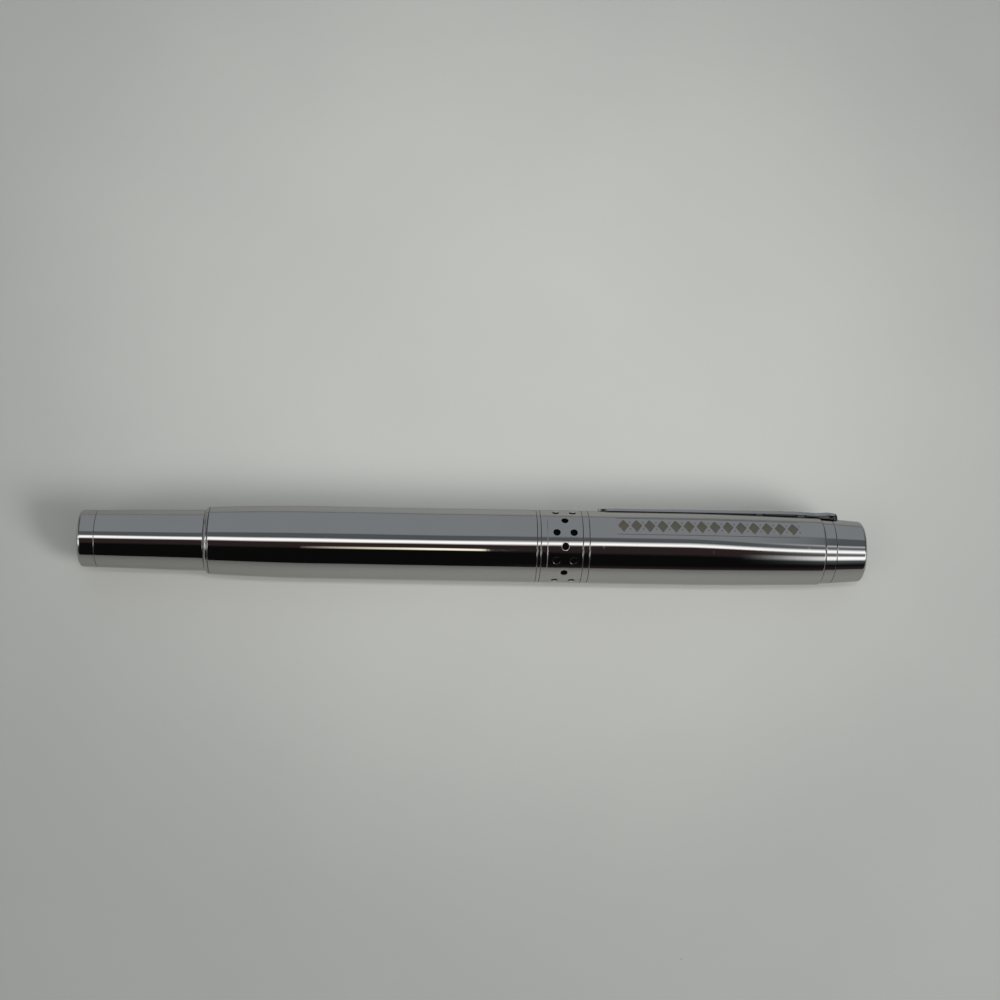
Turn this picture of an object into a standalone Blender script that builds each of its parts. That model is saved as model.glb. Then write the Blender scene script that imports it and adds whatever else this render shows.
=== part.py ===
"""Capped metal rollerball pen, built piece by piece from its driving dimensions.

Units are metres and +Z is up. The pen lies along +X with its cap on: the flat end face of the tail
is at X = 0, the pen's axis is Y = Z = 0, and the top of the cap is at the +X end. Below, rear means
towards the tail and front means towards the writing tip and the top of the cap.
"""

import math

import bmesh
import bpy
from mathutils import Matrix, Vector

MM = 0.001

# Clearances
SEAM = 0.05 * MM  # along the pen, between pieces that butt together
FIT = 0.05 * MM  # radial, between pieces pressed or glued together
RUN = 0.15 * MM  # between pieces that move past each other
SEAM_CHAMFER = 0.08 * MM  # broken edge at each visible seam
EDGE = 0.20 * MM  # broken edge of inner pieces
CUT_BEYOND = 0.50 * MM  # how far a cutter reaches past the surfaces that it cuts

# Lengths of the outer pieces, from the tail to the top of the cap
PLUG_HEAD_LENGTH = 3.00 * MM
TAIL_LENGTH = 18.90 * MM
STEP_RING_WIDTH = 0.75 * MM
BARREL_LENGTH = 57.00 * MM
TRIM_RING_WIDTH = 0.60 * MM
BAND_LENGTH = 7.20 * MM
BAND_RING_WIDTH = 1.10 * MM
CAP_TUBE_LENGTH = 40.80 * MM
COLLAR_WIDTH = 1.85 * MM
FINIAL_LENGTH = 5.35 * MM

# Outer surface: the body's radius, and how far each stretch rises or falls from the one beside it
BODY_RADIUS = 6.40 * MM
BARREL_TAPER_LENGTH = 17.0 * MM
BARREL_TAPER_DROP = 0.45 * MM
CAP_TAPER_LENGTH = 24.6 * MM
CAP_TAPER_DROP = 0.43 * MM
TAPER_POWER = 1.6
STEP_SINK = 0.02 * MM  # the step ring's front edge, below the barrel
STEP_RISE = 0.10 * MM  # its rear edge, above the tail
STEP_ROUND = 0.40 * MM
TAIL_TAPER_DROP = 0.34 * MM
PLUG_TAPER_DROP = 0.05 * MM
PLUG_END_ROUND = 0.60 * MM
COLLAR_SINK = 0.19 * MM  # below the cap tube's end
FINIAL_SINK = 0.10 * MM  # below the collar
FINIAL_TAPER_DROP = 0.41 * MM
FINIAL_ROUND = 0.50 * MM

# Tail and barrel, inside
PLUG_SPIGOT_LENGTH = 3.95 * MM
PLUG_PILOT_LENGTH = 2.0 * MM
TAIL_SHOULDER = 0.45 * MM  # from the tail's spigot out to its surface
TAIL_SPIGOT_WALL = 0.70 * MM
TAIL_SPIGOT_LENGTH = 8.05 * MM
TAIL_GUIDE_LENGTH = 11.0 * MM
BUSHING_WALL = 0.35 * MM
BARREL_WALL = 1.00 * MM
INSERT_LENGTH = 9.5 * MM
INSERT_WALL = 0.80 * MM  # outside its thread

# Screw joint between barrel and grip section
THREAD_PITCH = 0.75 * MM
THREAD_TURNS = 4
THREAD_DEPTH = 0.35 * MM
THREAD_CLEARANCE = 0.10 * MM
THREAD_LEAD_IN = 0.35 * MM
SEAL_WIRE = 0.66 * MM
NECK_RISE = 0.30 * MM  # above the thread's root
NECK_LENGTH = 0.70 * MM

# Grip section
SECTION_WALL = 0.80 * MM
SHOULDER_LENGTH = 2.65 * MM
SNAP_BEAD_HEIGHT = 0.05 * MM
SNAP_BEAD_WIDTH = 0.80 * MM
GRIP_LENGTH = 27.6 * MM
GRIP_WALL = 0.45 * MM  # at the waist
GRIP_PLAIN_LENGTH = 3.45 * MM  # from the grip's rear end to where it starts to draw in
GRIP_WAIST_X = 19.3 * MM  # from the grip's rear end
GRIP_WAIST_DROP = 0.45 * MM
GRIP_FRONT_RISE = 0.12 * MM  # above the waist
GRIP_RING_WIDTH = 1.15 * MM
GRIP_RING_RISE = 0.10 * MM  # above the grip's front end
GRIP_RING_CHAMFER = 0.29 * MM
NOSE_LENGTH = 9.45 * MM
NOSE_SINK = 0.22 * MM  # below the grip ring
NOSE_FRONT_RADIUS = 1.75 * MM
NOSE_CURVE_POWER = 1.25
NOSE_CHANNEL_LENGTH = 3.4 * MM  # the narrow stretch round the refill's metal point
NOSE_SPIGOT_WALL = 0.40 * MM
NOSE_SPIGOT_LENGTH = 3.8 * MM

# Refill
REFILL_WALL = 0.30 * MM
REFILL_HEAD_LENGTH = 1.20 * MM
REFILL_SPIGOT_LENGTH = 2.8 * MM
HOLDER_HEAD_LENGTH = 4.2 * MM
HOLDER_CONE_LENGTH = 3.0 * MM
HOLDER_NECK_LENGTH = 2.5 * MM
HOLDER_NECK_RADIUS = 1.70 * MM
POINT_STEM_RADIUS = 0.80 * MM
POINT_STEM_LENGTH = 4.8 * MM
POINT_RADIUS = 1.15 * MM
POINT_CONE_LENGTH = 1.85 * MM
POINT_REACH = 2.50 * MM  # how far the ball stands out of the nose cone
INK_CHANNEL_RADIUS = 0.20 * MM
BALL_RADIUS = 0.35 * MM
BALL_CLEARANCE = 0.03 * MM
BALL_SHOWN = 0.13 * MM  # height of the ball beyond the lip of its socket
SOCKET_LIP = 0.09 * MM

# Spring behind the refill
SPRING_LENGTH = 5.90 * MM
SPRING_WIRE_RADIUS = 0.225 * MM
SPRING_INSET = 0.70 * MM  # from the refill's surface in to the middle of the wire
SPRING_COILS = 5
SPRING_POINTS_PER_COIL = 10

# Cap, inside
CAP_WALL = 0.45 * MM
CAP_WIDE_BORE_LENGTH = 23.0 * MM  # of the cap tube; beyond it the bore is narrower
CAP_END_WALL = 0.52 * MM
LINER_MOUTH_LENGTH = 4.0 * MM
LINER_MOUTH_WALL = 0.40 * MM
LINER_WALL = 0.30 * MM  # inside the narrower bore
LINER_NARROW_LENGTH = 2.4 * MM
LINER_NARROW_WALL = 0.55 * MM
LINER_END_WALL = 0.60 * MM
COLLAR_SPIGOT_WALL = 0.70 * MM
COLLAR_LIP = 0.40 * MM  # round the hole for the finial's spigot
FINIAL_SPIGOT_WALL = 0.85 * MM
FINIAL_END_WALL = 2.50 * MM
KEY_LENGTH = 3.3 * MM

# Round holes through the cap's band: a row of single holes between two rows of paired ones
HOLE_RADIUS = 0.60 * MM
HOLE_COUNT_ROUND = 8
HOLE_TURN = math.radians(-70)  # of one single hole, from straight up
HOLE_ROW_PITCH = 1.475 * MM
BAND_GROOVE_X = 1.10 * MM  # from the band's rear end
BAND_GROOVE_WIDTH = 0.20 * MM
BAND_GROOVE_DEPTH = 0.08 * MM

# Clip: a sprung strip on the far side of the cap, 78 degrees from straight up
CLIP_ANGLE = math.radians(-78)
CLIP_LENGTH = 41.85 * MM
CLIP_HALF_WIDTH = 2.00 * MM
CLIP_TIP_HALF_WIDTH = 1.10 * MM
CLIP_TIP_LENGTH = 1.60 * MM
CLIP_TIP_THICKNESS = 0.42 * MM
CLIP_ROOT_THICKNESS = 0.55 * MM
CLIP_GAP = 0.25 * MM  # between clip and cap, clear of the tip
CLIP_TIP_GAP = 0.06 * MM
CLIP_SHOULDER_DROP = 0.56 * MM  # from the clip's crest down to its root bend
CLIP_BEND_RISE = 0.15 * MM  # of that drop, the part that the root bend takes
CLIP_SLOPE_LENGTH = 7.0 * MM  # the stretch that follows the cap's taper down to the root
CLIP_SLOPE_EASE = 4.0 * MM
CLIP_TIP_EASE = 0.53 * MM
CLIP_BEND = 0.45 * MM
CLIP_EDGE = 0.07 * MM
CLIP_LEG_SETBACK = 0.65 * MM  # from the finial's rear face to the leg
CLIP_LEG_DEPTH = 3.25 * MM  # below the finial's surface
CLIP_HINGE_DEPTH = 1.25 * MM  # the clip bends where its leg is held, below that surface
CLIP_SLOT_CLEARANCE = 0.14 * MM
CLIP_HOLE_RADIUS = 0.75 * MM
CLIP_HOLES_FROM_TIP = (28.6 * MM, 35.95 * MM)

# Facets round the pieces
OUTER_FACETS = 32
INNER_FACETS = 24
POINT_FACETS = 12
HOLE_FACETS = 8
SEAL_WIRE_FACETS = 6
SHARP_ANGLE = math.radians(25)  # steeper edges between facets are shaded sharp

# Straight steps in each curve
TAPER_STEPS = 7
GRIP_CURVE_STEPS = 4
NOSE_CURVE_STEPS = 5
ROUND_STEPS = 3
SOFT_EDGE_STEPS = 2
SOCKET_STEPS = 4
BALL_STEPS = 8
CLIP_TIP_STEPS = 2
CLIP_SLOPE_STEPS = 4

# Radii inside the barrel and the tail
BARREL_REAR_RADIUS = BODY_RADIUS - BARREL_TAPER_DROP
BARREL_BORE = BODY_RADIUS - BARREL_WALL
INSERT_RADIUS = BARREL_BORE - FIT
TAIL_SPIGOT_RADIUS = INSERT_RADIUS - BUSHING_WALL - FIT
TAIL_BORE = TAIL_SPIGOT_RADIUS - TAIL_SPIGOT_WALL
TAIL_FRONT_RADIUS = TAIL_SPIGOT_RADIUS + TAIL_SHOULDER
TAIL_REAR_RADIUS = TAIL_FRONT_RADIUS - TAIL_TAPER_DROP

# Radii of the cap's pieces
CAP_MOUTH_BORE = BODY_RADIUS - CAP_WALL
CAP_END_RADIUS = BODY_RADIUS - CAP_TAPER_DROP
CAP_NARROW_BORE = CAP_END_RADIUS - CAP_END_WALL
COLLAR_RADIUS = CAP_END_RADIUS - COLLAR_SINK
COLLAR_BORE = CAP_NARROW_BORE - FIT - COLLAR_SPIGOT_WALL
LINER_MOUTH_BORE = CAP_MOUTH_BORE - FIT - LINER_MOUTH_WALL
LINER_BORE = CAP_NARROW_BORE - FIT - LINER_WALL
FINIAL_REAR_RADIUS = COLLAR_RADIUS - FINIAL_SINK
FINIAL_HOLE = COLLAR_BORE - COLLAR_LIP
FINIAL_SPIGOT_RADIUS = FINIAL_HOLE - FIT
FINIAL_BORE = FINIAL_SPIGOT_RADIUS - FINIAL_SPIGOT_WALL

# Radii of the grip section, which runs inside the cap's liner, and of the refill inside it
SHOULDER_RADIUS = LINER_MOUTH_BORE - RUN - SNAP_BEAD_HEIGHT
GRIP_REAR_RADIUS = LINER_BORE - RUN
GRIP_WAIST_RADIUS = GRIP_REAR_RADIUS - GRIP_WAIST_DROP
GRIP_FRONT_RADIUS = GRIP_WAIST_RADIUS + GRIP_FRONT_RISE
GRIP_RING_RADIUS = GRIP_FRONT_RADIUS + GRIP_RING_RISE
NOSE_REAR_RADIUS = GRIP_RING_RADIUS - NOSE_SINK
SECTION_TUBE_RADIUS = GRIP_WAIST_RADIUS - GRIP_WALL - FIT
SECTION_BORE = SECTION_TUBE_RADIUS - SECTION_WALL
THREAD_MAJOR = INSERT_RADIUS - INSERT_WALL
THREAD_CREST = THREAD_MAJOR - THREAD_CLEARANCE
THREAD_ROOT = THREAD_CREST - THREAD_DEPTH
NECK_RADIUS = THREAD_ROOT + NECK_RISE
REFILL_RADIUS = SECTION_BORE - RUN
REFILL_BORE = REFILL_RADIUS - REFILL_WALL
NOSE_BORE = POINT_RADIUS + RUN
SPRING_MEAN_RADIUS = REFILL_RADIUS - SPRING_INSET

# Where each outer piece begins and ends
PLUG_FRONT = PLUG_HEAD_LENGTH
TAIL_REAR = PLUG_FRONT + SEAM
TAIL_FRONT = TAIL_REAR + TAIL_LENGTH
STEP_REAR = TAIL_FRONT + SEAM
STEP_FRONT = STEP_REAR + STEP_RING_WIDTH
BARREL_REAR = STEP_FRONT + SEAM
BARREL_FRONT = BARREL_REAR + BARREL_LENGTH
TRIM_REAR = BARREL_FRONT + SEAM
TRIM_FRONT = TRIM_REAR + TRIM_RING_WIDTH
BAND_REAR = TRIM_FRONT + SEAM
BAND_FRONT = BAND_REAR + BAND_LENGTH
BAND_RING_REAR = BAND_FRONT + SEAM
BAND_RING_FRONT = BAND_RING_REAR + BAND_RING_WIDTH
CAP_REAR = BAND_RING_FRONT + SEAM
CAP_FRONT = CAP_REAR + CAP_TUBE_LENGTH
COLLAR_REAR = CAP_FRONT + SEAM
COLLAR_FRONT = COLLAR_REAR + COLLAR_WIDTH
FINIAL_REAR = COLLAR_FRONT + SEAM
FINIAL_FRONT = FINIAL_REAR + FINIAL_LENGTH

# Where the grip section's pieces begin and end
SHOULDER_REAR = TRIM_FRONT + SEAM
SHOULDER_FRONT = SHOULDER_REAR + SHOULDER_LENGTH
GRIP_REAR = SHOULDER_FRONT + SEAM
GRIP_FRONT = GRIP_REAR + GRIP_LENGTH
GRIP_RING_REAR = GRIP_FRONT + SEAM
GRIP_RING_FRONT = GRIP_RING_REAR + GRIP_RING_WIDTH
NOSE_REAR = GRIP_RING_FRONT + SEAM
NOSE_FRONT = NOSE_REAR + NOSE_LENGTH
NECK_REAR = SHOULDER_REAR - NECK_LENGTH
SEAL_REAR = NECK_REAR - SEAL_WIRE - 2 * SEAM
THREAD_LINE_COUNT = 2 * (THREAD_TURNS + 2) + 1
THREAD_LENGTH = (THREAD_TURNS + 3) * THREAD_PITCH  # with the runout at both ends
THREAD_REAR = SEAL_REAR - THREAD_LENGTH
SHANK_REAR = THREAD_REAR - THREAD_LEAD_IN

# Where the refill's pieces begin and end
POINT_FRONT = NOSE_FRONT + POINT_REACH
BALL_CENTRE = POINT_FRONT - BALL_RADIUS
SPRING_REAR = PLUG_FRONT + PLUG_SPIGOT_LENGTH + SEAM
REFILL_REAR = SPRING_REAR + SPRING_LENGTH + SEAM
LIP_FRONT = POINT_FRONT - BALL_SHOWN
HOLDER_FRONT = NOSE_FRONT - NOSE_CHANNEL_LENGTH - 2 * SEAM
POINT_REAR = HOLDER_FRONT + SEAM

CLIP_TIP = FINIAL_REAR + CLIP_LEG_SETBACK + CLIP_ROOT_THICKNESS - CLIP_LENGTH
CLIP_LEG_X = FINIAL_REAR + CLIP_LEG_SETBACK + CLIP_ROOT_THICKNESS / 2


def clear_scene():
    for thing in list(bpy.data.objects):
        bpy.data.objects.remove(thing, do_unlink=True)


def give_material(thing, colour, roughness, metallic):
    material = bpy.data.materials.new(thing.name)
    material.use_nodes = True
    shader = material.node_tree.nodes["Principled BSDF"]
    shader.inputs["Base Color"].default_value = (*colour, 1)
    shader.inputs["Roughness"].default_value = roughness
    shader.inputs["Metallic"].default_value = metallic
    thing.data.materials.append(material)


def chrome(thing):
    give_material(thing, (0.80, 0.80, 0.81), 0.08, 1.0)


def brass(thing):
    give_material(thing, (0.72, 0.55, 0.28), 0.30, 1.0)


def steel(thing):
    give_material(thing, (0.56, 0.56, 0.58), 0.25, 1.0)


def black_plastic(thing):
    give_material(thing, (0.015, 0.015, 0.017), 0.35, 0.0)


def grey_plastic(thing):
    give_material(thing, (0.30, 0.31, 0.33), 0.45, 0.0)


def rubber(thing):
    give_material(thing, (0.02, 0.02, 0.02), 0.70, 0.0)


def rounded(corners):
    """Outline points from corners (x, r), (x, r, setback) or (x, r, setback, steps).

    A setback cuts the corner off that far along both its sides, in a curve of that many steps.
    """
    points = []
    for number, (x, r, *cut) in enumerate(corners):
        corner = Vector((x, r))
        if not cut:
            points.append(corner)
            continue
        setback, steps = cut[0], cut[1] if len(cut) > 1 else 1
        before = (Vector(corners[number - 1][:2]) - corner).normalized() * setback
        after = (Vector(corners[(number + 1) % len(corners)][:2]) - corner).normalized() * setback
        for step in range(steps + 1):
            t = step / steps
            points.append(corner + before * (1 - t) ** 2 + after * t**2)
    return points


def arc(x, r, radius, start, end, steps):
    """Outline points on an arc about (x, r), between angles measured from +X towards +r."""
    angles = [start + (end - start) * step / steps for step in range(steps + 1)]
    return [(x + radius * math.cos(a), r + radius * math.sin(a)) for a in angles]


def taper(start, full_radius, end, end_radius, steps):
    """Outline points of a taper that leaves the full radius tangentially at start."""
    points = []
    for step in range(steps + 1):
        t = step / steps
        radius = full_radius - (full_radius - end_radius) * t**TAPER_POWER
        points.append((start + (end - start) * t, radius))
    return points


def ring_of_points(mesh, x, r, facets):
    """A ring about the pen's axis with a flat between its points facing down, or the axis point."""
    if r == 0:
        return [mesh.verts.new((x, 0, 0))]
    angles = [2 * math.pi * (step + 0.5) / facets for step in range(facets)]
    return [mesh.verts.new((x, r * math.cos(a), r * math.sin(a))) for a in angles]


def skin(mesh, ring, following):
    """The faces between two rings; either may be a single point on the axis."""
    facets = max(len(ring), len(following))
    for step in range(facets):
        after = (step + 1) % facets
        corners = [ring[step % len(ring)], following[step % len(following)]]
        corners += [following[after % len(following)], ring[after % len(ring)]]
        mesh.faces.new(dict.fromkeys(corners))


def helical_skin(mesh, ring, following, crest):
    """A thread between two rings of equal radius, with a root line and a crest line to the pitch.

    The lines climb one pitch a turn, so line k ends where line k + 2 begins.
    """
    facets = len(ring)
    last = facets - 1
    scale = crest / ring[0].co.yz.length
    line_count = THREAD_LINE_COUNT
    lines = []
    for k in range(line_count):
        toothed = k % 2 and 2 < k < line_count - 3
        line = []
        for step, start in enumerate(ring):
            across = start.co.yz * (scale if toothed else 1)
            climb = (k / 2 + step / facets) * THREAD_PITCH
            line.append(mesh.verts.new((start.co.x + climb, across.x, across.y)))
        lines.append(line)
    for low, high in zip(lines, lines[1:]):
        for step in range(last):
            mesh.faces.new((low[step], high[step], high[step + 1], low[step + 1]))
    for k in range(line_count - 3):
        mesh.faces.new((lines[k][last], lines[k + 1][last], lines[k + 3][0], lines[k + 2][0]))
    for step in range(last):
        mesh.faces.new((ring[step], lines[0][step], lines[0][step + 1], ring[step + 1]))
        mesh.faces.new((lines[-1][step], following[step], following[step + 1], lines[-1][step + 1]))
    first_turn = [line[0] for line in lines[2::-1]]
    mesh.faces.new([ring[last], lines[0][last], *first_turn, ring[0]])
    last_turn = [line[last] for line in lines[-3:]]
    mesh.faces.new([*last_turn, following[last], following[0], lines[-1][0]])


def finish(name, mesh, give_look, origin=(0, 0, 0)):
    """Turns the mesh into a smooth-shaded object of its own with the given look."""
    bmesh.ops.recalc_face_normals(mesh, faces=mesh.faces)
    data = bpy.data.meshes.new(name)
    mesh.transform(Matrix.Translation(-Vector(origin)))
    mesh.to_mesh(data)
    mesh.free()
    data.shade_smooth()
    data.set_sharp_from_angle(angle=SHARP_ANGLE)
    thing = bpy.data.objects.new(name, data)
    thing.location = origin
    bpy.context.collection.objects.link(thing)
    if give_look:
        give_look(thing)
    return thing


def turned(name, outline, give_look, facets, thread_after=None, crest=0, origin=(0, 0, 0)):
    """A turned piece: the outline of (x, r) points spun about the pen's axis.

    An outline that starts and ends on the axis is solid there, and any other is a closed loop. The
    stretch that follows point number thread_after carries a thread with the given crest radius.
    """
    mesh = bmesh.new()
    rings = [ring_of_points(mesh, x, r, facets) for x, r in outline]
    if outline[0][1] > 0:
        rings.append(rings[0])
    for number, (ring, following) in enumerate(zip(rings, rings[1:])):
        if number == thread_after:
            helical_skin(mesh, ring, following, crest)
        else:
            skin(mesh, ring, following)
    return finish(name, mesh, give_look, origin)


def tube(name, rear, front, inner, outer, give_look, facets=INNER_FACETS, edge=EDGE):
    corners = [(rear, outer, edge), (front, outer, edge), (front, inner), (rear, inner)]
    return turned(name, rounded(corners), give_look, facets)


def ring_outline(rear, front, inner):
    """The outline of a ring as wide as the body, with the broken edges of a visible seam."""
    outer = [(rear, BODY_RADIUS, SEAM_CHAMFER), (front, BODY_RADIUS, SEAM_CHAMFER)]
    return rounded([*outer, (front, inner), (rear, inner)])


def in_clip_plane(x, across, height):
    """A point given along the pen, across the clip and away from the pen's axis under the clip."""
    return Matrix.Rotation(CLIP_ANGLE, 3, "X") @ Vector((x, across, height))


def box_in_clip_plane(name, low, high):
    mesh = bmesh.new()
    bmesh.ops.create_cube(mesh, size=1)
    for point in mesh.verts:
        at = [a + (b - a) * (c + 0.5) for a, b, c in zip(low, high, point.co)]
        point.co = in_clip_plane(*at)
    return finish(name, mesh, None)


def drills(name, places, facets):
    """One cutter of round drills. A place is a point, a direction and the drill's (reach, r) steps."""
    mesh = bmesh.new()
    for point, direction, steps in places:
        turn = Vector((0, 0, 1)).rotation_difference(direction).to_matrix()
        rings = []
        for reach, r in steps:
            angles = [2 * math.pi * (step + 0.5) / facets for step in range(facets)]
            round_it = [(r * math.cos(a), r * math.sin(a), reach) for a in angles]
            rings.append([mesh.verts.new(point + turn @ Vector(at)) for at in round_it])
        mesh.faces.new(rings[0])
        mesh.faces.new(rings[-1])
        for ring, following in zip(rings, rings[1:]):
            skin(mesh, ring, following)
    return finish(name, mesh, None)


def cut(thing, cutter):
    cutter.hide_render = True
    cutter.display_type = "WIRE"
    boolean = thing.modifiers.new(cutter.name, "BOOLEAN")
    boolean.operation = "DIFFERENCE"
    boolean.object = cutter


def make_tail():
    spigot_front = PLUG_FRONT + PLUG_SPIGOT_LENGTH
    spigot_radius = TAIL_BORE - FIT
    pilot_radius = SPRING_MEAN_RADIUS - 2 * SPRING_WIRE_RADIUS
    corners = [
        (0, 0),
        (0, TAIL_REAR_RADIUS - PLUG_TAPER_DROP, PLUG_END_ROUND, ROUND_STEPS),
        (PLUG_FRONT, TAIL_REAR_RADIUS, SEAM_CHAMFER),
        (PLUG_FRONT, spigot_radius),
        (spigot_front, spigot_radius, EDGE),
        (spigot_front, pilot_radius),
        (spigot_front + PLUG_PILOT_LENGTH, pilot_radius, EDGE),
        (spigot_front + PLUG_PILOT_LENGTH, 0),
    ]
    turned("tail_plug", rounded(corners), chrome, OUTER_FACETS)

    tail_spigot_front = TAIL_FRONT + TAIL_SPIGOT_LENGTH
    corners = [
        (TAIL_REAR, TAIL_REAR_RADIUS, SEAM_CHAMFER),
        (TAIL_FRONT, TAIL_FRONT_RADIUS, SEAM_CHAMFER),
        (TAIL_FRONT, TAIL_SPIGOT_RADIUS),
        (tail_spigot_front, TAIL_SPIGOT_RADIUS, EDGE),
        (tail_spigot_front, TAIL_BORE),
        (TAIL_REAR, TAIL_BORE),
    ]
    turned("tail_tube", rounded(corners), chrome, OUTER_FACETS)

    ring_bore = TAIL_SPIGOT_RADIUS + FIT
    step_radius = BARREL_REAR_RADIUS - STEP_SINK
    corners = [
        (STEP_REAR, TAIL_FRONT_RADIUS + STEP_RISE, SEAM_CHAMFER),
        (STEP_REAR + STEP_ROUND, step_radius, STEP_ROUND / 2, ROUND_STEPS),
        (STEP_FRONT, step_radius, SEAM_CHAMFER),
        (STEP_FRONT, ring_bore),
        (STEP_REAR, ring_bore),
    ]
    turned("step_ring", rounded(corners), chrome, OUTER_FACETS)

    guide_rear = tail_spigot_front - TAIL_GUIDE_LENGTH
    tube("tail_guide", guide_rear, tail_spigot_front, SECTION_BORE, TAIL_BORE - FIT, grey_plastic)
    tube("barrel_bushing", BARREL_REAR, tail_spigot_front, ring_bore, INSERT_RADIUS, brass, OUTER_FACETS)


def make_refill_spring():
    """A coil spring between the plug's shoulder and the refill, as one round wire."""
    rear = SPRING_REAR + SPRING_WIRE_RADIUS
    front = SPRING_REAR + SPRING_LENGTH - SPRING_WIRE_RADIUS
    count = SPRING_COILS * SPRING_POINTS_PER_COIL
    points = []
    for step in range(count + 1):
        angle = 2 * math.pi * step / SPRING_POINTS_PER_COIL
        across = SPRING_MEAN_RADIUS * math.cos(angle), SPRING_MEAN_RADIUS * math.sin(angle)
        points.append(Vector((rear + (front - rear) * step / count, *across)))
    curve = bpy.data.curves.new("refill_spring", "CURVE")
    curve.dimensions = "3D"
    curve.bevel_depth = SPRING_WIRE_RADIUS
    curve.bevel_resolution = 1
    curve.use_fill_caps = True
    spline = curve.splines.new("POLY")
    spline.points.add(count)
    for knot, point in zip(spline.points, points):
        knot.co = (*point, 1)
    spring = bpy.data.objects.new("refill_spring", curve)
    bpy.context.collection.objects.link(spring)
    steel(spring)
    half_turn = SPRING_POINTS_PER_COIL // 2
    pairs = [(a, b) for i, a in enumerate(points) for b in points[i + half_turn :]]
    gap = min((a - b).length for a, b in pairs) - 2 * SPRING_WIRE_RADIUS
    print(f"refill_spring: least gap to itself {gap / MM:.3f} mm")


def make_barrel():
    taper_front = BARREL_REAR + BARREL_TAPER_LENGTH
    outer = taper(taper_front, BODY_RADIUS, BARREL_REAR, BARREL_REAR_RADIUS, TAPER_STEPS)
    corners = [
        (*outer[-1], SEAM_CHAMFER),
        *outer[-2::-1],
        (BARREL_FRONT, BODY_RADIUS, SEAM_CHAMFER),
        (BARREL_FRONT, BARREL_BORE),
        (BARREL_REAR, BARREL_BORE),
    ]
    turned("barrel_tube", rounded(corners), chrome, OUTER_FACETS)

    front = BARREL_FRONT - SEAM
    rear = front - INSERT_LENGTH
    seal_bore = THREAD_ROOT + FIT + SEAL_WIRE + RUN
    thread_rear = THREAD_REAR - THREAD_PITCH / 2
    thread_front = thread_rear + THREAD_LENGTH
    corners = [
        (thread_rear, THREAD_MAJOR),
        (thread_front, THREAD_MAJOR),
        (thread_front, seal_bore),
        (front, seal_bore),
        (front, INSERT_RADIUS, EDGE),
        (rear, INSERT_RADIUS, EDGE),
        (rear, THREAD_MAJOR),
    ]
    minor = THREAD_ROOT + THREAD_CLEARANCE
    outline = rounded(corners)
    turned("barrel_insert", outline, brass, INNER_FACETS, thread_after=0, crest=minor)
    turned("trim_ring", ring_outline(TRIM_REAR, TRIM_FRONT, NECK_RADIUS + RUN), chrome, OUTER_FACETS)


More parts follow.
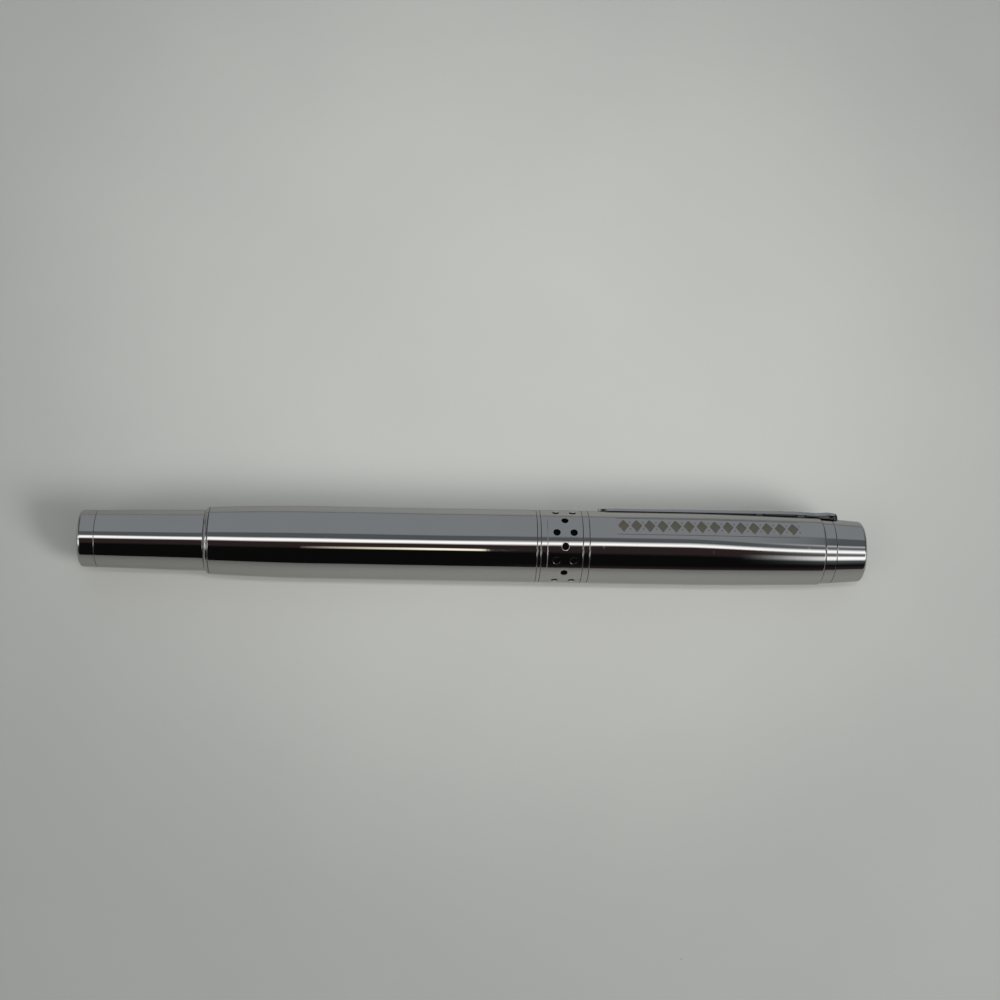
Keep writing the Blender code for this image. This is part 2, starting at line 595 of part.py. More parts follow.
def make_section():
    nose_spigot_rear = NOSE_REAR - NOSE_SPIGOT_LENGTH
    nose_spigot_radius = SECTION_BORE + NOSE_SPIGOT_WALL
    tube_front = NOSE_REAR - SEAM
    bead = SHOULDER_REAR + SHOULDER_LENGTH / 2
    bead_radius = SHOULDER_RADIUS + SNAP_BEAD_HEIGHT
    corners = [
        (THREAD_REAR, THREAD_ROOT),
        (SEAL_REAR, THREAD_ROOT),
        (NECK_REAR, THREAD_ROOT),
        (NECK_REAR, NECK_RADIUS),
        (SHOULDER_REAR, NECK_RADIUS),
        (SHOULDER_REAR, SHOULDER_RADIUS, EDGE),
        (bead - SNAP_BEAD_WIDTH / 2, SHOULDER_RADIUS),
        (bead, bead_radius),
        (bead + SNAP_BEAD_WIDTH / 2, SHOULDER_RADIUS),
        (SHOULDER_FRONT, SHOULDER_RADIUS, EDGE, SOFT_EDGE_STEPS),
        (SHOULDER_FRONT, SECTION_TUBE_RADIUS),
        (tube_front, SECTION_TUBE_RADIUS),
        (tube_front, nose_spigot_radius + FIT),
        (nose_spigot_rear - SEAM, nose_spigot_radius + FIT),
        (nose_spigot_rear - SEAM, SECTION_BORE),
        (SHANK_REAR, SECTION_BORE),
        (SHANK_REAR, THREAD_ROOT, EDGE),
    ]
    outline = rounded(corners)
    turned("section_core", outline, steel, INNER_FACETS, thread_after=0, crest=THREAD_CREST)

    seal_middle = SEAL_REAR + SEAM + SEAL_WIRE / 2
    seal_centre = THREAD_ROOT + FIT + SEAL_WIRE / 2
    circle = arc(seal_middle, seal_centre, SEAL_WIRE / 2, 0, 2 * math.pi, SEAL_WIRE_FACETS)[:-1]
    turned("seal_ring", circle, rubber, INNER_FACETS)

    inner = SECTION_TUBE_RADIUS + FIT
    waist = GRIP_REAR + GRIP_WAIST_X
    plain = GRIP_REAR + GRIP_PLAIN_LENGTH
    corners = [
        (GRIP_REAR, inner),
        (GRIP_REAR, GRIP_REAR_RADIUS, EDGE, SOFT_EDGE_STEPS),
        *taper(waist, GRIP_WAIST_RADIUS, plain, GRIP_REAR_RADIUS, GRIP_CURVE_STEPS)[::-1],
        (GRIP_FRONT, GRIP_FRONT_RADIUS, EDGE, SOFT_EDGE_STEPS),
        (GRIP_FRONT, inner),
    ]
    turned("grip_sleeve", rounded(corners), black_plastic, INNER_FACETS)
    corners = [
        (GRIP_RING_REAR, inner),
        (GRIP_RING_REAR, GRIP_RING_RADIUS, GRIP_RING_CHAMFER),
        (GRIP_RING_FRONT, GRIP_RING_RADIUS, GRIP_RING_CHAMFER),
        (GRIP_RING_FRONT, inner),
    ]
    turned("grip_ring", rounded(corners), chrome, INNER_FACETS)

    cone = []
    for step in range(NOSE_CURVE_STEPS + 1):
        t = step / NOSE_CURVE_STEPS
        drop = (NOSE_REAR_RADIUS - NOSE_FRONT_RADIUS) * t**NOSE_CURVE_POWER
        cone.append((NOSE_REAR + NOSE_LENGTH * t, NOSE_REAR_RADIUS - drop))
    seat = NOSE_FRONT - NOSE_CHANNEL_LENGTH
    corners = [
        (nose_spigot_rear, SECTION_BORE),
        (nose_spigot_rear, nose_spigot_radius, EDGE),
        (NOSE_REAR, nose_spigot_radius),
        (*cone[0], SEAM_CHAMFER),
        *cone[1:-1],
        (*cone[-1], EDGE),
        (NOSE_FRONT, NOSE_BORE),
        (seat, NOSE_BORE),
        (seat, HOLDER_NECK_RADIUS + RUN),
        (HOLDER_FRONT - HOLDER_NECK_LENGTH, HOLDER_NECK_RADIUS + RUN),
        (HOLDER_FRONT - HOLDER_NECK_LENGTH - HOLDER_CONE_LENGTH, SECTION_BORE),
    ]
    turned("nose_cone", rounded(corners), chrome, INNER_FACETS)


def make_refill():
    spigot_radius = REFILL_BORE - FIT
    head_front = REFILL_REAR + REFILL_HEAD_LENGTH
    plug_front = head_front + REFILL_SPIGOT_LENGTH
    corners = [
        (REFILL_REAR, 0),
        (REFILL_REAR, REFILL_RADIUS, EDGE, SOFT_EDGE_STEPS),
        (head_front, REFILL_RADIUS),
        (head_front, spigot_radius),
        (plug_front, spigot_radius, EDGE),
        (plug_front, 0),
    ]
    turned("refill_plug", rounded(corners), grey_plastic, INNER_FACETS)

    neck_rear = HOLDER_FRONT - HOLDER_NECK_LENGTH
    cone_rear = neck_rear - HOLDER_CONE_LENGTH
    holder_rear = cone_rear - HOLDER_HEAD_LENGTH
    holder_spigot_rear = holder_rear - REFILL_SPIGOT_LENGTH
    stem_bore = POINT_STEM_RADIUS + FIT
    stem_rear = POINT_REAR - POINT_STEM_LENGTH
    tube_rear, tube_front = head_front + SEAM, holder_rear - SEAM
    tube("refill_tube", tube_rear, tube_front, REFILL_BORE, REFILL_RADIUS, steel, edge=SEAM_CHAMFER)
    corners = [
        (holder_spigot_rear, INK_CHANNEL_RADIUS),
        (holder_spigot_rear, spigot_radius, EDGE),
        (holder_rear, spigot_radius),
        (holder_rear, REFILL_RADIUS, SEAM_CHAMFER),
        (cone_rear, REFILL_RADIUS),
        (neck_rear, HOLDER_NECK_RADIUS),
        (HOLDER_FRONT, HOLDER_NECK_RADIUS, EDGE),
        (HOLDER_FRONT, stem_bore),
        (stem_rear - SEAM, stem_bore),
        (stem_rear - SEAM, INK_CHANNEL_RADIUS),
    ]
    turned("refill_holder", rounded(corners), grey_plastic, INNER_FACETS)

    socket = BALL_RADIUS + BALL_CLEARANCE
    lip_angle = math.acos((LIP_FRONT - BALL_CENTRE) / socket)
    channel_angle = math.pi - math.asin(INK_CHANNEL_RADIUS / socket)
    corners = [
        *arc(BALL_CENTRE, 0, socket, lip_angle, channel_angle, SOCKET_STEPS),
        (stem_rear, INK_CHANNEL_RADIUS),
        (stem_rear, POINT_STEM_RADIUS, SEAM_CHAMFER),
        (POINT_REAR, POINT_STEM_RADIUS),
        (POINT_REAR, POINT_RADIUS, SEAM_CHAMFER),
        (LIP_FRONT - POINT_CONE_LENGTH, POINT_RADIUS),
        (LIP_FRONT, socket * math.sin(lip_angle) + SOCKET_LIP),
    ]
    turned("refill_point", rounded(corners), steel, POINT_FACETS)

    between_poles = arc(BALL_CENTRE, 0, BALL_RADIUS, 0, math.pi, BALL_STEPS)[1:-1]
    half_circle = [(BALL_CENTRE + BALL_RADIUS, 0), *between_poles, (BALL_CENTRE - BALL_RADIUS, 0)]
    turned("writing_ball", half_circle, steel, POINT_FACETS, origin=(BALL_CENTRE, 0, 0))


def make_cap():
    groove = BAND_REAR + BAND_GROOVE_X
    corners = [
        (BAND_REAR, BODY_RADIUS, SEAM_CHAMFER),
        (groove - BAND_GROOVE_WIDTH / 2, BODY_RADIUS),
        (groove, BODY_RADIUS - BAND_GROOVE_DEPTH),
        (groove + BAND_GROOVE_WIDTH / 2, BODY_RADIUS),
        (BAND_FRONT, BODY_RADIUS, SEAM_CHAMFER),
        (BAND_FRONT, CAP_MOUTH_BORE),
        (BAND_REAR, CAP_MOUTH_BORE),
    ]
    band = turned("cap_band", rounded(corners), chrome, OUTER_FACETS)
    cut(band, band_hole_drills((groove + BAND_FRONT) / 2))
    ring = ring_outline(BAND_RING_REAR, BAND_RING_FRONT, CAP_MOUTH_BORE)
    turned("cap_band_ring", ring, chrome, OUTER_FACETS)

    bore_step = CAP_REAR + CAP_WIDE_BORE_LENGTH
    outer = taper(CAP_FRONT - CAP_TAPER_LENGTH, BODY_RADIUS, CAP_FRONT, CAP_END_RADIUS, TAPER_STEPS)
    corners = [
        (CAP_REAR, BODY_RADIUS, SEAM_CHAMFER),
        *outer[:-1],
        (*outer[-1], SEAM_CHAMFER),
        (CAP_FRONT, CAP_NARROW_BORE),
        (bore_step, CAP_NARROW_BORE),
        (bore_step, CAP_MOUTH_BORE),
        (CAP_REAR, CAP_MOUTH_BORE),
    ]
    turned("cap_tube", rounded(corners), chrome, OUTER_FACETS)

    narrow_rear = CAP_FRONT - LINER_NARROW_LENGTH
    narrow_radius = COLLAR_BORE - FIT
    liner_rear = BAND_REAR + 2 * SEAM
    liner_front = CAP_FRONT - 3 * SEAM
    mouth = liner_rear + LINER_MOUTH_LENGTH
    narrow_cavity = narrow_radius - LINER_NARROW_WALL
    cavity_step = narrow_rear - LINER_END_WALL
    corners = [
        (liner_front - LINER_END_WALL, 0),
        (liner_front - LINER_END_WALL, narrow_cavity),
        (cavity_step, narrow_cavity),
        (cavity_step, LINER_BORE),
        (mouth, LINER_BORE),
        (mouth, LINER_MOUTH_BORE),
        (liner_rear, LINER_MOUTH_BORE, EDGE),
        (liner_rear, CAP_MOUTH_BORE - FIT),
        (bore_step - SEAM, CAP_MOUTH_BORE - FIT),
        (bore_step - SEAM, CAP_NARROW_BORE - FIT),
        (narrow_rear - SEAM, CAP_NARROW_BORE - FIT),
        (narrow_rear - SEAM, narrow_radius),
        (liner_front, narrow_radius, EDGE),
        (liner_front, 0),
    ]
    turned("cap_liner", rounded(corners), black_plastic, INNER_FACETS)

    corners = [
        (COLLAR_REAR, COLLAR_RADIUS, SEAM_CHAMFER),
        (COLLAR_FRONT, COLLAR_RADIUS - SEAM_CHAMFER, SEAM_CHAMFER),
        (COLLAR_FRONT, FINIAL_HOLE),
        (COLLAR_REAR, FINIAL_HOLE),
        (COLLAR_REAR, COLLAR_BORE),
        (narrow_rear, COLLAR_BORE),
        (narrow_rear, CAP_NARROW_BORE - FIT, EDGE),
        (COLLAR_REAR, CAP_NARROW_BORE - FIT),
    ]
    turned("cap_collar", rounded(corners), chrome, OUTER_FACETS)

    bore_front = FINIAL_FRONT - FINIAL_END_WALL
    spigot_rear = COLLAR_REAR - 2 * SEAM
    corners = [
        (bore_front, 0),
        (bore_front, FINIAL_BORE),
        (spigot_rear, FINIAL_BORE),
        (spigot_rear, FINIAL_SPIGOT_RADIUS, EDGE),
        (FINIAL_REAR, FINIAL_SPIGOT_RADIUS),
        (FINIAL_REAR, FINIAL_REAR_RADIUS, SEAM_CHAMFER),
        (FINIAL_FRONT, FINIAL_REAR_RADIUS - FINIAL_TAPER_DROP, FINIAL_ROUND, ROUND_STEPS),
        (FINIAL_FRONT, 0),
    ]
    finial = turned("finial", rounded(corners), chrome, OUTER_FACETS)
    cut(finial, clip_slot("finial_slot"))

    key_front = bore_front - 2 * SEAM
    key_radius = FINIAL_BORE - FIT
    corners = [
        (key_front - KEY_LENGTH, 0),
        (key_front - KEY_LENGTH, key_radius, EDGE),
        (key_front, key_radius, EDGE),
        (key_front, 0),
    ]
    key = turned("clip_key", rounded(corners), brass, INNER_FACETS)
    cut(key, clip_slot("key_slot"))


def band_hole_drills(middle):
    """Drills for the band: single holes in the middle row, paired ones half a step round."""
    step = 2 * math.pi / HOLE_COUNT_ROUND
    steps = [(CAP_MOUTH_BORE - CUT_BEYOND, HOLE_RADIUS), (BODY_RADIUS + CUT_BEYOND, HOLE_RADIUS)]
    places = []
    for number in range(HOLE_COUNT_ROUND):
        for row, offset in ((0, 0), (-1, 0.5), (1, 0.5)):
            angle = HOLE_TURN + (number + offset) * step
            direction = Vector((0, -math.sin(angle), math.cos(angle)))
            places.append((Vector((middle + row * HOLE_ROW_PITCH, 0, 0)), direction, steps))
    return drills("band_hole_drills", places, HOLE_FACETS)


def clip_slot(name):
    """The slot that holds the clip's leg, open outwards."""
    top = FINIAL_REAR_RADIUS + CUT_BEYOND
    half = CLIP_ROOT_THICKNESS / 2 + CLIP_SLOT_CLEARANCE
    across = CLIP_HALF_WIDTH + RUN
    bottom = FINIAL_REAR_RADIUS - CLIP_LEG_DEPTH - CLIP_SLOT_CLEARANCE
    return box_in_clip_plane(name, (CLIP_LEG_X - half, -across, bottom), (CLIP_LEG_X + half, across, top))


def make_clip():
    """A strip swept along its bent centre line, with the width and thickness that it has there."""
    inner = BODY_RADIUS + CLIP_GAP
    crest = inner + CLIP_TIP_THICKNESS / 2
    tip_height = BODY_RADIUS + CLIP_TIP_GAP + CLIP_TIP_THICKNESS / 2
    root_height = crest - CLIP_SHOULDER_DROP
    slope_start = CLIP_LEG_X - CLIP_SLOPE_LENGTH
    leg_bottom = FINIAL_REAR_RADIUS - CLIP_LEG_DEPTH
    flat_end = CLIP_TIP + CLIP_TIP_LENGTH / 2
    corners = [
        (CLIP_TIP, tip_height),
        (flat_end, tip_height, CLIP_TIP_EASE, CLIP_TIP_STEPS),
        (flat_end + CLIP_TIP_LENGTH, crest, CLIP_TIP_EASE, CLIP_TIP_STEPS),
        (slope_start, crest, CLIP_SLOPE_EASE, CLIP_SLOPE_STEPS),
        (CLIP_LEG_X - 2 * CLIP_BEND, root_height + CLIP_BEND_RISE, CLIP_BEND, SOFT_EDGE_STEPS),
        (CLIP_LEG_X, root_height, CLIP_BEND, ROUND_STEPS),
        (CLIP_LEG_X, leg_bottom),
    ]
    path = rounded(corners)
    lengths = [0.0]
    for here, following in zip(path, path[1:]):
        lengths.append(lengths[-1] + (Vector(following) - Vector(here)).length)

    hinge_height = FINIAL_REAR_RADIUS - CLIP_HINGE_DEPTH
    mesh = bmesh.new()
    rings = []
    for number, (at, length) in enumerate(zip(path, lengths)):
        before, following = path[max(number - 1, 0)], path[min(number + 1, len(path) - 1)]
        along = (Vector(following) - Vector(before)).normalized()
        outward = Vector((-along.y, along.x))
        share = length / lengths[-1]
        half = (CLIP_TIP_THICKNESS + (CLIP_ROOT_THICKNESS - CLIP_TIP_THICKNESS) * share) / 2
        swell = min(1, length / CLIP_TIP_LENGTH)
        width = CLIP_TIP_HALF_WIDTH + (CLIP_HALF_WIDTH - CLIP_TIP_HALF_WIDTH) * math.sqrt(swell)
        ring = []
        for across, out in (
            (width - CLIP_EDGE, half),
            (width, half - CLIP_EDGE),
            (width, CLIP_EDGE - half),
            (width - CLIP_EDGE, -half),
            (CLIP_EDGE - width, -half),
            (-width, CLIP_EDGE - half),
            (-width, half - CLIP_EDGE),
            (CLIP_EDGE - width, half),
        ):
            place = Vector(at) + outward * out
            ring.append(mesh.verts.new((place.x, across, place.y)))
        rings.append(ring)
    mesh.faces.new(rings[0])
    mesh.faces.new(rings[-1])
    for ring, following in zip(rings, rings[1:]):
        skin(mesh, ring, following)
    clip = finish("clip", mesh, chrome, (CLIP_LEG_X, 0, hinge_height))
    clip.location = in_clip_plane(CLIP_LEG_X, 0, hinge_height)
    clip.rotation_euler.x = CLIP_ANGLE

    outward = in_clip_plane(0, 0, 1)
    above = inner + CLIP_ROOT_THICKNESS + CUT_BEYOND
    steps = [(BODY_RADIUS, CLIP_HOLE_RADIUS), (above, CLIP_HOLE_RADIUS)]
    places = [(Vector((CLIP_TIP + x, 0, 0)), outward, steps) for x in CLIP_HOLES_FROM_TIP]
    cut(clip, drills("clip_hole_drills", places, HOLE_FACETS))


clear_scene()
make_tail()
make_refill_spring()
make_barrel()
make_section()
make_refill()
make_cap()
make_clip()
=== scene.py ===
"""Looks of a chrome-plated pen that lies capped on a pale table. Sizes are in millimetres, along +X
from the flat end of the tail to the top of the cap, and turned into metres where a mesh is made."""

import math

import bmesh
import bpy
from mathutils import Matrix, Vector


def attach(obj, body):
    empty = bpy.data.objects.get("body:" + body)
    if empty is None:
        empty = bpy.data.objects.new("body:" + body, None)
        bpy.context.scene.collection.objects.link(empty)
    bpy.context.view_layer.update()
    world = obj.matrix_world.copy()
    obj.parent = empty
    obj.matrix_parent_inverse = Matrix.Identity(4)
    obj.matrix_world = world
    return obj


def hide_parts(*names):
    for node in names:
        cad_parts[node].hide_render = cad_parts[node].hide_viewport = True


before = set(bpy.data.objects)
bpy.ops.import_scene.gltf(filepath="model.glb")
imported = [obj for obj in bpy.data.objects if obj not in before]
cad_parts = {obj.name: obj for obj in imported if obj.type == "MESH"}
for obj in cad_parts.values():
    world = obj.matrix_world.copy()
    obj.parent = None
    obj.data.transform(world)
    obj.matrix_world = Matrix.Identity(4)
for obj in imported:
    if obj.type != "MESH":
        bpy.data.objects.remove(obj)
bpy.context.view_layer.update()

# --- Tail plug ---
# The solid end piece of the tail: turned brass, polished and plated with bright chromium, pressed
# into the tail tube by its long spigot. Its outer rim is rounded.
MM = 0.001


def linear(hex_colour):
    """An sRGB hex colour as linear red, green, blue and alpha."""
    channels = [int(hex_colour[i : i + 2], 16) / 255 for i in (1, 3, 5)]
    return [c / 12.92 if c <= 0.04045 else ((c + 0.055) / 1.055) ** 2.4 for c in channels] + [1]


def plug_in(tree, node, inputs):
    """Gives sockets, named or numbered, each a value, an output, or a node for its first output."""
    for socket, value in inputs.items():
        if isinstance(value, bpy.types.Node):
            value = value.outputs[0]
        if isinstance(value, bpy.types.NodeSocket):
            tree.links.new(value, node.inputs[socket])
        else:
            node.inputs[socket].default_value = value


def add(tree, kind, inputs=(), **settings):
    """Adds a node with its settings and its inputs."""
    node = tree.nodes.new(kind)
    for name, value in settings.items():
        setattr(node, name, value)
    plug_in(tree, node, dict(inputs))
    return node


def new_finish(name):
    """An empty material, its tree, its surface shader and the piece's own coordinates."""
    finish = bpy.data.materials.new(name)
    finish.use_nodes = True
    shader = finish.node_tree.nodes["Principled BSDF"]
    coordinates = add(finish.node_tree, "ShaderNodeTexCoord").outputs["Object"]
    return finish, finish.node_tree, shader, coordinates


def per_mm(across):
    """The texture scale at which a pattern repeats every so many millimetres."""
    return 1 / (across * MM)


# Bright chromium over polished brass: a clean, slightly warm mirror, a little dimmer where it is seen
# at a grazing angle. The buffing wheel leaves marks round the pen every 0.05 mm, too fine to show, so
# they are drawn 0.6 mm apart and very shallow, and a slow waviness, about 5 mm across and four times
# as long. Handling adds broad faint smears and a few hairline scratches.
bright_chrome, tree, shader, coordinates = new_finish("bright_chrome_plating")
rings = add(tree, "ShaderNodeMapping", {"Vector": coordinates, "Scale": (1, 0.03, 0.03)})
buffing = add(
    tree, "ShaderNodeTexNoise", {"Vector": rings, "Scale": per_mm(0.6), "Detail": 3, "Roughness": 0.6}
)
smears = add(
    tree,
    "ShaderNodeTexNoise",
    {"Vector": coordinates, "Scale": per_mm(9), "Detail": 4, "Distortion": 0.6},
)
slanted = add(
    tree,
    "ShaderNodeMapping",
    {"Vector": coordinates, "Rotation": (0.5, 0.9, 0.35), "Scale": (1, 0.08, 1)},
)
scratching = add(tree, "ShaderNodeTexNoise", {"Vector": slanted, "Scale": per_mm(0.7), "Detail": 2})
hairlines = add(
    tree,
    "ShaderNodeMapRange",
    {"Value": scratching, "From Min": 0.70, "From Max": 0.74, "To Min": 0, "To Max": 1},
)
smeared = add(
    tree,
    "ShaderNodeMapRange",
    {"Value": smears, "From Min": 0.42, "From Max": 0.72, "To Min": 0.02, "To Max": 0.055},
)
roughness = add(tree, "ShaderNodeMath", {0: hairlines, 1: 0.10, 2: smeared}, operation="MULTIPLY_ADD")
tint = add(
    tree,
    "ShaderNodeMix",
    {"Factor": smears, "A": linear("#B1AFAD"), "B": linear("#ABAAA9")},
    data_type="RGBA",
)
drawn_out = add(tree, "ShaderNodeMapping", {"Vector": coordinates, "Scale": (0.25, 1, 1)})
waves = add(tree, "ShaderNodeTexNoise", {"Vector": drawn_out, "Scale": per_mm(5), "Detail": 1})
wavy = add(tree, "ShaderNodeBump", {"Height": waves, "Strength": 1, "Distance": 0.03 * MM})
marks = {"Height": buffing, "Strength": 0.04, "Distance": 0.02 * MM}
relief = add(tree, "ShaderNodeBump", {**marks, "Normal": wavy})
look = {"Base Color": tint.outputs["Result"], "Metallic": 1, "Roughness": roughness}
plug_in(tree, shader, {**look, "Specular Tint": linear("#E1E1E2"), "Normal": relief})


# A point this close beside each rounded corner keeps the curve out of the shading of the flats.
SHADE_GUARD = 0.02


def outline(corners):
    """Outline points from corners (x, r), (x, r, setback) or (x, r, setback, steps), in a curve."""
    points = []
    for number, (x, r, *cut) in enumerate(corners):
        corner = Vector((x, r))
        if not cut:
            points.append(corner)
            continue
        setback, steps = cut[0], cut[1] if len(cut) > 1 else 4
        before = (Vector(corners[number - 1][:2]) - corner).normalized()
        after = (Vector(corners[(number + 1) % len(corners)][:2]) - corner).normalized()
        points.append(corner + before * (setback + SHADE_GUARD))
        for step in range(steps + 1):
            t = step / steps
            points.append(corner + (before * (1 - t) ** 2 + after * t**2) * setback)
        points.append(corner + after * (setback + SHADE_GUARD))
    return points


def stations(start, end, radius, spacing):
    """Outline points at an even spacing on a straight stretch, its two ends left out."""
    count = max(1, round(abs(end - start) / spacing))
    return [(start + (end - start) * step / count, radius) for step in range(1, count)]


def new_tree(name, sizes):
    """A Geometry Nodes tree with a mesh in, a named input for each size, and a finish to set."""
    tree = bpy.data.node_groups.new(name, "GeometryNodeTree")
    tree.interface.new_socket("Mesh", in_out="OUTPUT", socket_type="NodeSocketGeometry")
    for label, kind in {"Mesh": "Geometry", **sizes, "Finish": "Material"}.items():
        tree.interface.new_socket(label, in_out="INPUT", socket_type="NodeSocket" + kind)
    return tree, add(tree, "NodeGroupInput").outputs


def places(tree):
    """The X, Y and Z outputs of each point's place."""
    position = add(tree, "GeometryNodeInputPosition")
    return add(tree, "ShaderNodeSeparateXYZ", {0: position}).outputs


def end_tree(tree, geometry, sizes):
    """Closes a tree: touching points welded, everything real, and the finish set."""
    welded = add(tree, "GeometryNodeMergeByDistance", {"Geometry": geometry, "Distance": 0.0005 * MM})
    real = add(tree, "GeometryNodeRealizeInstances", {"Geometry": welded})
    finished = add(tree, "GeometryNodeSetMaterial", {"Geometry": real, "Material": sizes["Finish"]})
    add(tree, "NodeGroupOutput", {"Mesh": finished})


TAPER = {"Taper " + part: "Float" for part in ("Start", "Length", "Power", "Drop")}


def taper_drop(tree, sizes, along):
    """How far the surface falls at a place along the pen: a power of the share of the taper run."""
    run = add(tree, "ShaderNodeMath", {0: along, 1: sizes["Taper Start"]}, operation="SUBTRACT")
    share = add(
        tree, "ShaderNodeMath", {0: run, 1: sizes["Taper Length"]}, operation="DIVIDE", use_clamp=True
    )
    power = {0: share, 1: sizes["Taper Power"]}
    curved = add(tree, "ShaderNodeMath", power, operation="POWER")
    drop = {0: curved, 1: sizes["Taper Drop"]}
    return add(tree, "ShaderNodeMath", drop, operation="MULTIPLY")


# Spins an outline drawn at X along the pen and Y out from its axis. Points further out than Bore are
# let down by the taper first, so that a tube tapers outside and keeps a straight bore. The circle that
# the outline is swept along has the Chuck's radius, and the outline is set in from it.
CHUCK = 10 * MM
turning, sizes = new_tree("turned round the pen's axis", {"Facets": "Int", "Bore": "Float", **TAPER})
drawn = places(turning)
outside = add(turning, "ShaderNodeMath", {0: drawn["Y"], 1: sizes["Bore"]}, operation="GREATER_THAN")
fall = add(
    turning,
    "ShaderNodeMath",
    {0: taper_drop(turning, sizes, drawn["X"]), 1: outside},
    operation="MULTIPLY",
)
radius = add(turning, "ShaderNodeMath", {0: drawn["Y"], 1: fall}, operation="SUBTRACT")
outwards = add(turning, "ShaderNodeMath", {0: radius, 1: CHUCK}, operation="SUBTRACT")
upright = add(turning, "ShaderNodeMath", {0: drawn["X"], 1: -1}, operation="MULTIPLY")
place = add(turning, "ShaderNodeCombineXYZ", {"X": outwards, "Y": upright})
moved = add(turning, "GeometryNodeSetPosition", {"Geometry": sizes["Mesh"], "Position": place})
profile = add(turning, "GeometryNodeMeshToCurve", {"Mesh": moved})
circle = add(
    turning, "GeometryNodeCurvePrimitiveCircle", {"Resolution": sizes["Facets"], "Radius": CHUCK}
)
spun = add(turning, "GeometryNodeCurveToMesh", {"Curve": circle, "Profile Curve": profile})
laid = add(turning, "GeometryNodeTransform", {"Geometry": spun, "Rotation": (0, math.pi / 2, 0)})
end_tree(turning, laid, sizes)


def new_object(name, data):
    """An object in the scene for a mesh, a lamp or a camera."""
    thing = bpy.data.objects.new(name, data)
    bpy.context.collection.objects.link(thing)
    return thing


def made_mesh(maker):
    """The plain mesh that an object's modifiers make. The object itself is done with."""
    depsgraph = bpy.context.evaluated_depsgraph_get()
    mesh = bpy.data.meshes.new_from_object(maker.evaluated_get(depsgraph), depsgraph=depsgraph)
    bpy.data.objects.remove(maker)
    return mesh


def shaped(name, start, tree, **sizes):
    """The plain mesh that a tree makes of a starting mesh, with its inputs set by their labels."""
    maker = new_object(name, start)
    modifier = maker.modifiers.new(tree.name, "NODES")
    modifier.node_group = tree
    sockets = {s.name: s.identifier for s in tree.interface.items_tree if s.in_out == "INPUT"}
    for label, value in sizes.items():
        modifier[sockets[label.replace("_", " ").title()]] = value
    return made_mesh(maker)


def smooth(mesh, sharp_angle=30):
    """Points the faces outwards and shades them smooth up to the sharp angle."""
    skin = bmesh.new()
    skin.from_mesh(mesh)
    bmesh.ops.recalc_face_normals(skin, faces=skin.faces)
    skin.to_mesh(mesh)
    skin.free()
    mesh.shade_smooth()
    mesh.set_sharp_from_angle(angle=math.radians(sharp_angle))
    return mesh


def spin(name, points, finish, facets=256, bore=0, start=0, length=1, power=1, drop=0):
    """The turned mesh of an outline. One that starts on the axis is solid, any other is a loop."""
    line = bpy.data.meshes.new(name)
    count = len(points)
    edges = [(i, i + 1) for i in range(count - 1)] + ([(count - 1, 0)] if points[0][1] > 0 else [])
    line.from_pydata([(x * MM, r * MM, 0) for x, r in points], edges, [])
    taper = {"taper_start": start * MM, "taper_length": length * MM, "taper_drop": drop * MM}
    return shaped(
        name, line, turning, facets=facets, bore=bore * MM, taper_power=power, finish=finish, **taper
    )


def install(name, mesh, body, slot, *nodes):
    """The finished piece, riding on its body in place of its CAD nodes."""
    piece = new_object(name, mesh)
    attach(piece, body)
    if nodes:
        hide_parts(*nodes)


def install_turned(stem, node, body, slot, finish, points, **cut):
    """Spins an outline and installs the piece."""
    mesh = smooth(spin(stem + "_turned", points, finish, **cut))
    install(stem + "_finished", mesh, body, slot, node)


# The rounding of a plain turned edge, and of the two edges at the hairline seam of the tail.
EDGE, SEAM_EDGE = 0.08, 0.05
PLUG_FRONT, TAIL_REAR, SEAM_RADIUS = 3.00, 3.05, 5.06
plug_outline = outline(
    [
        (0, 0),
        (0, 5.01, 0.60, 10),
        (PLUG_FRONT, SEAM_RADIUS, SEAM_EDGE),
        (PLUG_FRONT, 4.20),
        (6.95, 4.20, 0.20),
        (6.95, 1.90),
        (8.95, 1.90, 0.20),
        (8.95, 0),
    ]
)
install_turned("tail_plug", "tail_plug", "barrel", "chrome", bright_chrome, plug_outline)

# --- Tail tube ---
# Drawn brass tube, chromed outside, slimmer than the body so that the cap can be pushed onto it.
# Its long spigot carries the step ring and is glued into the barrel's bushing.
tail_outline = outline(
    [
        (TAIL_REAR, SEAM_RADIUS, SEAM_EDGE),
        (21.95, 5.40, EDGE),
        (21.95, 4.95),
        (30.0, 4.95, 0.20),
        (30.0, 4.25),
        (TAIL_REAR, 4.25),
    ]
)
install_turned("tail_tube", "tail_tube", "barrel", "chrome", bright_chrome, tail_outline)

# --- Step ring ---
# A separate turned ring that covers the joint where the slim tail meets the barrel: a narrow lip,
# then a rounded shoulder that climbs to the barrel's size.
step_outline = outline(
    [
        (22.00, 5.50, EDGE),
        (22.38, 5.93, 0.19, 10),
        (22.75, 5.93, 0.17, 10),
        (22.75, 5.00),
        (22.00, 5.00),
    ]
)
install_turned("step_ring", "step_ring", "barrel", "chrome", bright_chrome, step_outline)

# --- Bushings and spring inside the barrel ---
# A grey acetal guide keeps the refill straight in the tail, a plain turned brass bushing joins tail
# and barrel, and a steel spring pushes the refill forward. None of them shows on the closed pen.


def mottled(tree, place, across, detail, low, high):
    """A cloudy pattern of a real size in millimetres, and the colour that it mixes from two."""
    cloud = {"Vector": place, "Scale": per_mm(across), "Detail": detail}
    noise = add(tree, "ShaderNodeTexNoise", cloud)
    ends = {"Factor": noise, "A": linear(low), "B": linear(high)}
    return noise, add(tree, "ShaderNodeMix", ends, data_type="RGBA").outputs["Result"]


